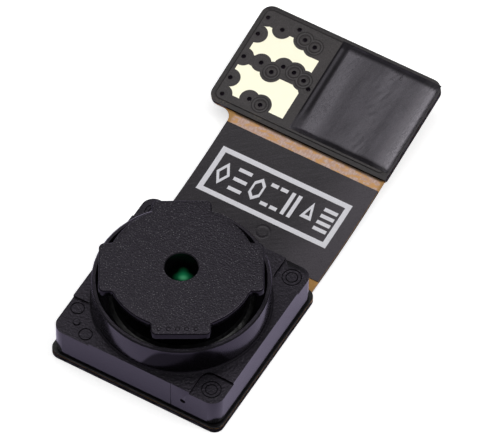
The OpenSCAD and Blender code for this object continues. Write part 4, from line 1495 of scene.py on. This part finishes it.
@dataclass
class Holder:
    """The square holder with its collar, and the bead of adhesive it stands in.

    Args:
        width: size across the tail.
        length: size along the tail.
        y: place of its centre along the tail.
        corner_r: corner radius.
        collar_r: radius out to which the collar and its foot reach.
        ease: rounding of the edges.
        bead_in: how far the bead's middle lies inside the wall.
        bead_half: half of the bead's width.
        bead_low: where the bead starts.
        bead_high: where it ends.
        pocket_low: height over which the edges inside the lowered corners stay crisp.
        pocket_z: height of the lowered corners.
        adhesive: the bead's finish.
    """

    width: float = 6.55
    length: float = 6.5
    y: float = 0.055
    corner_r: float = 0.45
    collar_r: float = 3.09
    ease: float = 0.04
    bead_in: float = 0.26
    bead_half: float = 0.17
    bead_low: float = 0.28
    bead_high: float = 0.37
    pocket_low: float = 1.4
    pocket_z: float = 1.5
    adhesive: Finish = Adhesive("bead_adhesive")

    def plastic(self) -> Finish:
        """The plastic, fitted to the holder's own sizes.

        Returns:
            The holder's finish.
        """
        half = (self.width / 2, self.length / 2)
        return HolderPlastic("holder_plastic", grain=14.0, grain_depth=0.019, rough_top=0.34, speck=0.22,
                             half=half, corner=self.corner_r, middle=self.y)

    def bead(self) -> bpy.types.Object:
        """Bead of adhesive: an oval section carried round the wall, its outer side pushed in and out by waves.

        Returns:
            The bead.
        """
        wide, long = self.width / 2 - self.bead_in, self.length / 2 - self.bead_in
        loop = round_loop(-wide, wide, -long, long, (self.corner_r - self.bead_in,) * 4)
        normal = outward(loop)
        around = np.radians(np.arange(12) * 30.0)
        bulge = 0.05 * waves(loop[:, 0], loop[:, 1], 5, 10, 1.6, 0.25)
        out = (self.bead_half + np.clip(bulge, -0.09, 0.07))[:, None] * np.maximum(np.cos(around), 0.0)
        out = out + self.bead_half * np.minimum(np.cos(around), 0.0)
        mid, half = (self.bead_low + self.bead_high) / 2, (self.bead_high - self.bead_low) / 2
        points = np.empty((len(loop), 12, 3))
        points[..., :2] = loop[:, None, :] + normal[:, None, :] * out[..., None] + (0.0, self.y)
        points[..., 2] = mid + half * np.clip(1.25 * np.sin(around), -1, 1)
        return put("glue_bead", points.reshape(-1, 3), grid_faces(len(loop), 12, close_rows=True), self.adhesive)

    def crisp(self, middle: Array) -> Array:
        """Says which edges lie inside or round the lowered corners.

        The distance to the rounded outline is the length of the part of q over zero, plus the
        larger of q where both are under zero, less the corner radius, with q the distance past
        the rectangle of the corners' centres.

        Args:
            middle: middles of the edges, in millimetres.

        Returns:
            True for each edge that stays crisp.
        """
        half = np.array([self.width / 2, self.length / 2]) - self.corner_r
        q = np.abs(middle[:, :2] - (0.0, self.y)) - half
        away = np.linalg.norm(np.maximum(q, 0), axis=1) + np.minimum(q.max(axis=1), 0) - self.corner_r
        clear = np.hypot(middle[:, 0], middle[:, 1]) > self.collar_r
        rim = np.abs(middle[:, 2] - self.pocket_z) < 0.02
        return ((away < -0.04) | rim) & clear & (middle[:, 2] > self.pocket_low)

    def build(self) -> None:
        """Builds the holder with eased edges, and the bead."""
        holder = eased("lens_holder", "holder", self.ease, self.plastic(), spare=self.crisp)
        settle(holder, "holder_plastic", "lens_holder")
        settle(self.bead(), "adhesive", "holder_glue")


@dataclass
class Patch:
    """The wrinkled foil over the stiffener plate.

    Args:
        x0: its left side in the end board's frame.
        x1: its right side.
        y0: its near side.
        y1: its far side.
        floor: height of the mask under it.
        plate: height of the plate.
        foil: thickness of the foil.
        ramps: widths of the slopes at the left, right, near and far sides.
        cell: spacing of the grid.
        lip: height at which the slopes end.
        slant: turn of the creases from the tail, in radians.
        crease: height, pitch across and length along of the creases.
        band: middle and half width of the band that holds the creases.
        roll: height and pitch of the rolls.
        swell: height of the slow waves.
        hair: height of the fine waves.
        finish: the foil's finish.
    """

    x0: float = -0.8
    x1: float = 3.12
    y0: float = 0.72
    y1: float = 4.57
    floor: float = 0.205
    plate: float = 0.15
    foil: float = 0.065
    ramps: tuple[float, float, float, float] = (0.46, 0.92, 0.62, 0.42)
    cell: float = 0.022
    lip: float = 0.006
    slant: float = 0.42
    crease: Triple = (0.006, 0.27, 0.9)
    band: Pair = (1.7, 0.36)
    roll: Pair = (0.017, 1.25)
    swell: float = 0.012
    hair: float = 0.0016
    finish: Finish = WrinkledFoil("wrinkled_foil")

    def slopes(self, x: Array, y: Array) -> Array:
        """Share of the full height that the slopes leave.

        The left side rises in two steps, the upper of which fades at the near end; the near side
        rises in a short step and a long slope; the right and far sides fall away as powers of the
        distance.

        Args:
            x: places across the end board.
            y: places along it.

        Returns:
            Shares from 0 to 1.
        """
        left, right, near, far = self.ramps
        u, v = x - self.x0, y - self.y0
        fade = smooth((v - 0.25) / 0.7)
        steps = 0.4 * smooth(u / 0.1) + 0.6 * smooth((u - left * 0.45) / (left * 0.55))
        plain = smooth(u / (left * 0.9)) ** 0.6
        rise = steps * fade + plain * (1 - fade)
        rise = rise * (1 - np.clip(1 - (self.x1 - x) / right, 0, 1) ** 3.4)
        rise = rise * (0.55 * smooth(v / 0.09) + 0.45 * smooth(0.3 + 0.7 * v / near) ** 0.8)
        return rise * (1 - np.clip(1 - (self.y1 - y) / far, 0, 1) ** 2.2)

    def wrinkles(self, x: Array, y: Array) -> Array:
        """Height of the wrinkles.

        It is the sum of slanted creases, which are cosines across and along the slant in one band,
        rolls, which are a bent cosine across the tail, and slow and fine waves.

        Args:
            x: places across the end board.
            y: places along it.

        Returns:
            Heights in millimetres.
        """
        cos, sin = math.cos(self.slant), math.sin(self.slant)
        across, along = x * cos - y * sin, x * sin + y * cos
        high, pitch, length = self.crease
        bend = 0.09 * waves(across * 0.6, along, 3, 8, 2.2, 0.7)
        crease = np.cos((across + bend) * 2 * np.pi / pitch)
        crease = crease * (0.5 + 0.5 * np.cos((along - 3 * bend) * 2 * np.pi / length))
        band = np.exp(-((x - self.band[0] + 0.1 * y) / self.band[1]) ** 2)
        slow = waves(x * 1.5, y * 0.4, 21, 9, 2.2, 0.8)
        roll = np.cos((x + 0.06 * y + 0.16 + 0.15 * waves(x, y, 5, 6, 3.0, 1.0)) * 2 * np.pi / self.roll[1])
        fine = waves(x * 1.4, y * 0.8, 31, 14, 0.42, 0.16)
        return high * crease * band + self.swell * slow + self.hair * fine + self.roll[0] * roll

    def height(self, x: Array, y: Array) -> Array:
        """Height over the mask: the slopes between two lips, with the wrinkles where they are flat.

        Args:
            x: places across the end board.
            y: places along it.

        Returns:
            Heights in millimetres.
        """
        rise = self.slopes(x, y)
        full = self.plate + self.foil - 2 * self.lip
        return self.lip + full * rise + self.wrinkles(x, y) * np.clip((rise - 0.3) * 1.6, 0, 1)

    def build(self) -> None:
        """Builds the foil as a closed skin: a wrinkled sheet and a flat underside."""
        nx, ny = int((self.x1 - self.x0) / self.cell), int((self.y1 - self.y0) / self.cell)
        x, y = np.meshgrid(np.linspace(self.x0, self.x1, nx), np.linspace(self.y0, self.y1, ny), indexing="ij")
        top = np.stack([x, y, self.floor + self.height(x, y)], axis=-1)
        under = top.copy()
        under[..., 2] = self.floor
        points = END_FRAME.lift(np.concatenate([top.reshape(-1, 3), under.reshape(-1, 3)]))
        sheet = grid_faces(nx, ny, close_cols=False)
        grid = np.arange(nx * ny).reshape(nx, ny)
        rim = np.concatenate([grid[:-1, 0], grid[-1, :-1], grid[:0:-1, -1], grid[0, :0:-1]])
        after = np.roll(rim, -1)
        skirt = np.stack([rim, rim + nx * ny, after + nx * ny, after], axis=1)
        faces = np.concatenate([sheet, sheet[:, ::-1] + nx * ny, skirt])
        settle(put("patch_foil", points, faces, self.finish, crease=60.0), "foil", "stiffener_foil")


@dataclass
class Boards:
    """The rigid-flex: two rigid ends, the amber core, its films and print, and the hidden plug.

    Args:
        ease: rounding of the rigid boards' edges.
        mask_ease: rounding of the mask's edges.
        plug_ease: rounding of the plug's edges.
        laminate: finish of the rigid boards.
        mask: finish of the mask.
        plug: finish of the plug's housing.
    """

    ease: float = 0.02
    mask_ease: float = 0.006
    plug_ease: float = 0.015
    laminate: Finish = Laminate("board_laminate")
    mask: Finish = SolderMask("board_mask")
    plug: Finish = MouldedPlastic("plug_plastic", rough_wall=0.35, rough_top=0.4)

    def build(self) -> None:
        """Eases the rigid boards and the plug, and dresses the rest."""
        for node in ("sensor_board_upper", "sensor_board_lower", "end_board_upper", "end_board_lower"):
            settle(eased(node, node + "_eased", self.ease, self.laminate), "laminate", node)
        mask = eased("solder_mask", "mask_eased", self.mask_ease, self.mask, segments=2)
        settle(mask, "solder_mask", "solder_mask")
        plug = eased("plug_housing", "plug_eased", self.plug_ease, self.plug, segments=2)
        settle(plug, "plug_plastic", "plug_housing")
        dress({
            "flex_core": Polyimide("amber_core"),
            "film_upper": CoverFilm("cover_film"),
            "film_lower": CoverFilm("cover_film_under", dimple=(0.0, -50.0)),
            "label_print": PrintInk("white_ink"),
            "ground_pads": Plating("pad_gold", (0.96, 0.93, 0.74), stain=(0.95, 0.86, 0.6), rough=0.34),
            # painted shade: the via barrels near-black, standing in for the dark holes
            "via_barrels": Plating("via_copper", (0.03, 0.02, 0.015), stain=(0.02, 0.012, 0.008), rough=0.5),
            "stiffener_plate": Plating("plate_steel", (0.62, 0.62, 0.64), stain=(0.45, 0.44, 0.43), rough=0.35),
            "plug_contacts": Plating("contact_gold", (0.95, 0.74, 0.36), rough=0.24),
            "plug_hold_downs": Plating("hold_down_tin", (0.78, 0.77, 0.74), stain=(0.6, 0.58, 0.54), rough=0.36),
        })


# ---------------------------------------------------------------- studio


@dataclass
class Studio:
    """Pale floor, soft lamps, surroundings and the camera.

    Args:
        target: what the camera looks at, in millimetres.
        toward: direction from the target to the camera.
        distance: their distance in millimetres.
        lens: focal length for a 36 mm sensor.
        sky: how bright the surroundings are to the object.
        lamps: direction, distance, size and brightness of each soft lamp.
        floor_half: half of the floor's width, in millimetres.
        drop: how far the floor lies under the part, in millimetres.
    """

    target: Triple = (0.523, 3.699, 2.152)
    toward: Triple = (0.2987, -0.5110, 0.8060)
    distance: float = 250.0
    lens: float = 527.0
    sky: float = 0.22
    lamps: tuple[tuple[Triple, float, float, float], ...] = (
        ((-0.16, 0.0, 0.98), 160.0, 150.0, 1.42),
        ((0.58, 0.24, 0.78), 160.0, 76.0, 3.8),
    )
    floor_half: float = 400.0
    drop: float = 0.002

    def camera(self) -> None:
        """Puts the camera on its line and points it at the target."""
        data = bpy.data.cameras.new("view")
        data.lens, data.sensor_width = self.lens, 36.0
        data.clip_start, data.clip_end = 0.01, 5.0
        body = link("view", data)
        line = Vector(self.toward).normalized()
        body.location = (Vector(self.target) + line * self.distance) * MM
        body.rotation_euler = line.to_track_quat("Z", "Y").to_euler()
        bpy.context.scene.camera = body

    def light(self) -> None:
        """Hangs the soft lamps; a lamp's power is its brightness times pi and its area."""
        for number, (side, away, size, bright) in enumerate(self.lamps):
            data = bpy.data.lights.new(f"softbox_{number}", "AREA")
            data.shape, data.size = "SQUARE", size * MM
            data.energy = bright * math.pi * (size * MM) ** 2
            lamp = link(data.name, data)
            line = Vector(side).normalized()
            lamp.location = line * away * MM
            lamp.rotation_euler = line.to_track_quat("Z", "Y").to_euler()

    def world(self) -> None:
        """Even surroundings, white to the camera."""
        world = bpy.data.worlds.new("surroundings")
        bpy.context.scene.world = world
        world.use_nodes = True
        tree = world.node_tree
        back = tree.nodes["Background"]
        rays = tree.nodes.new("ShaderNodeLightPath")
        level = tree.nodes.new("ShaderNodeMapRange")
        level.inputs["To Min"].default_value = self.sky
        tree.links.new(rays.outputs["Is Camera Ray"], level.inputs["Value"])
        tree.links.new(level.outputs[0], back.inputs["Strength"])
        back.inputs["Color"].default_value = (1.0, 1.0, 1.0, 1.0)

    def floor(self) -> None:
        """A wide pale floor under the part, lifted to white for the camera and a little for mirrored rays."""
        side = np.linspace(-self.floor_half, self.floor_half, 9)
        x, y = np.meshgrid(side, side, indexing="ij")
        points = np.stack([x, y, np.full_like(x, -self.drop)], axis=-1).reshape(-1, 3)
        n = Nodes("pale_floor")
        slow = n.noise(n.place(), 0.02, 2.0)
        colour = n.mix(slow, (0.84, 0.84, 0.84), (0.87, 0.87, 0.87))
        seen = n.add("ShaderNodeLightPath", out="Is Camera Ray")
        mirrored = Val(n, seen.it.node.outputs["Is Glossy Ray"])
        matte = n.add("ShaderNodeBsdfDiffuse", inputs={"Color": n.mix(mirrored, colour, (0.83, 0.76, 0.95))})
        tint = n.mix(mirrored, (1.0, 1.0, 1.0), (0.66, 0.58, 1.0))
        lift = n.add("ShaderNodeEmission", inputs={"Color": tint, "Strength": seen * 0.6 + mirrored * 0.2})
        total = n.add("ShaderNodeAddShader", inputs={0: matte, 1: lift})
        n.tree.links.new(total.it, n.out.inputs["Surface"])
        mesh = bpy.data.meshes.new("floor")
        mesh.from_pydata((points * MM).tolist(), [], grid_faces(9, 9, close_cols=False).tolist())
        mesh.materials.append(n.material)
        plane = link("floor", mesh)

    def build(self) -> None:
        """Sets up everything round the part."""
        bpy.context.scene.view_settings.view_transform = "Standard"
        self.camera()
        self.light()
        self.world()
        self.floor()


def main() -> None:
    """Builds the studio and each sub-assembly in order, and notes when each is done."""
    logging.basicConfig(level=logging.INFO, format="%(name)s: %(message)s")
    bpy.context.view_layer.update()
    for part in (Studio(), Barrel(), Optics(), Holder(), Patch(), Boards()):
        part.build()
        LOG.info("%s is done", type(part).__name__)


if __name__ == "__main__":
    main()
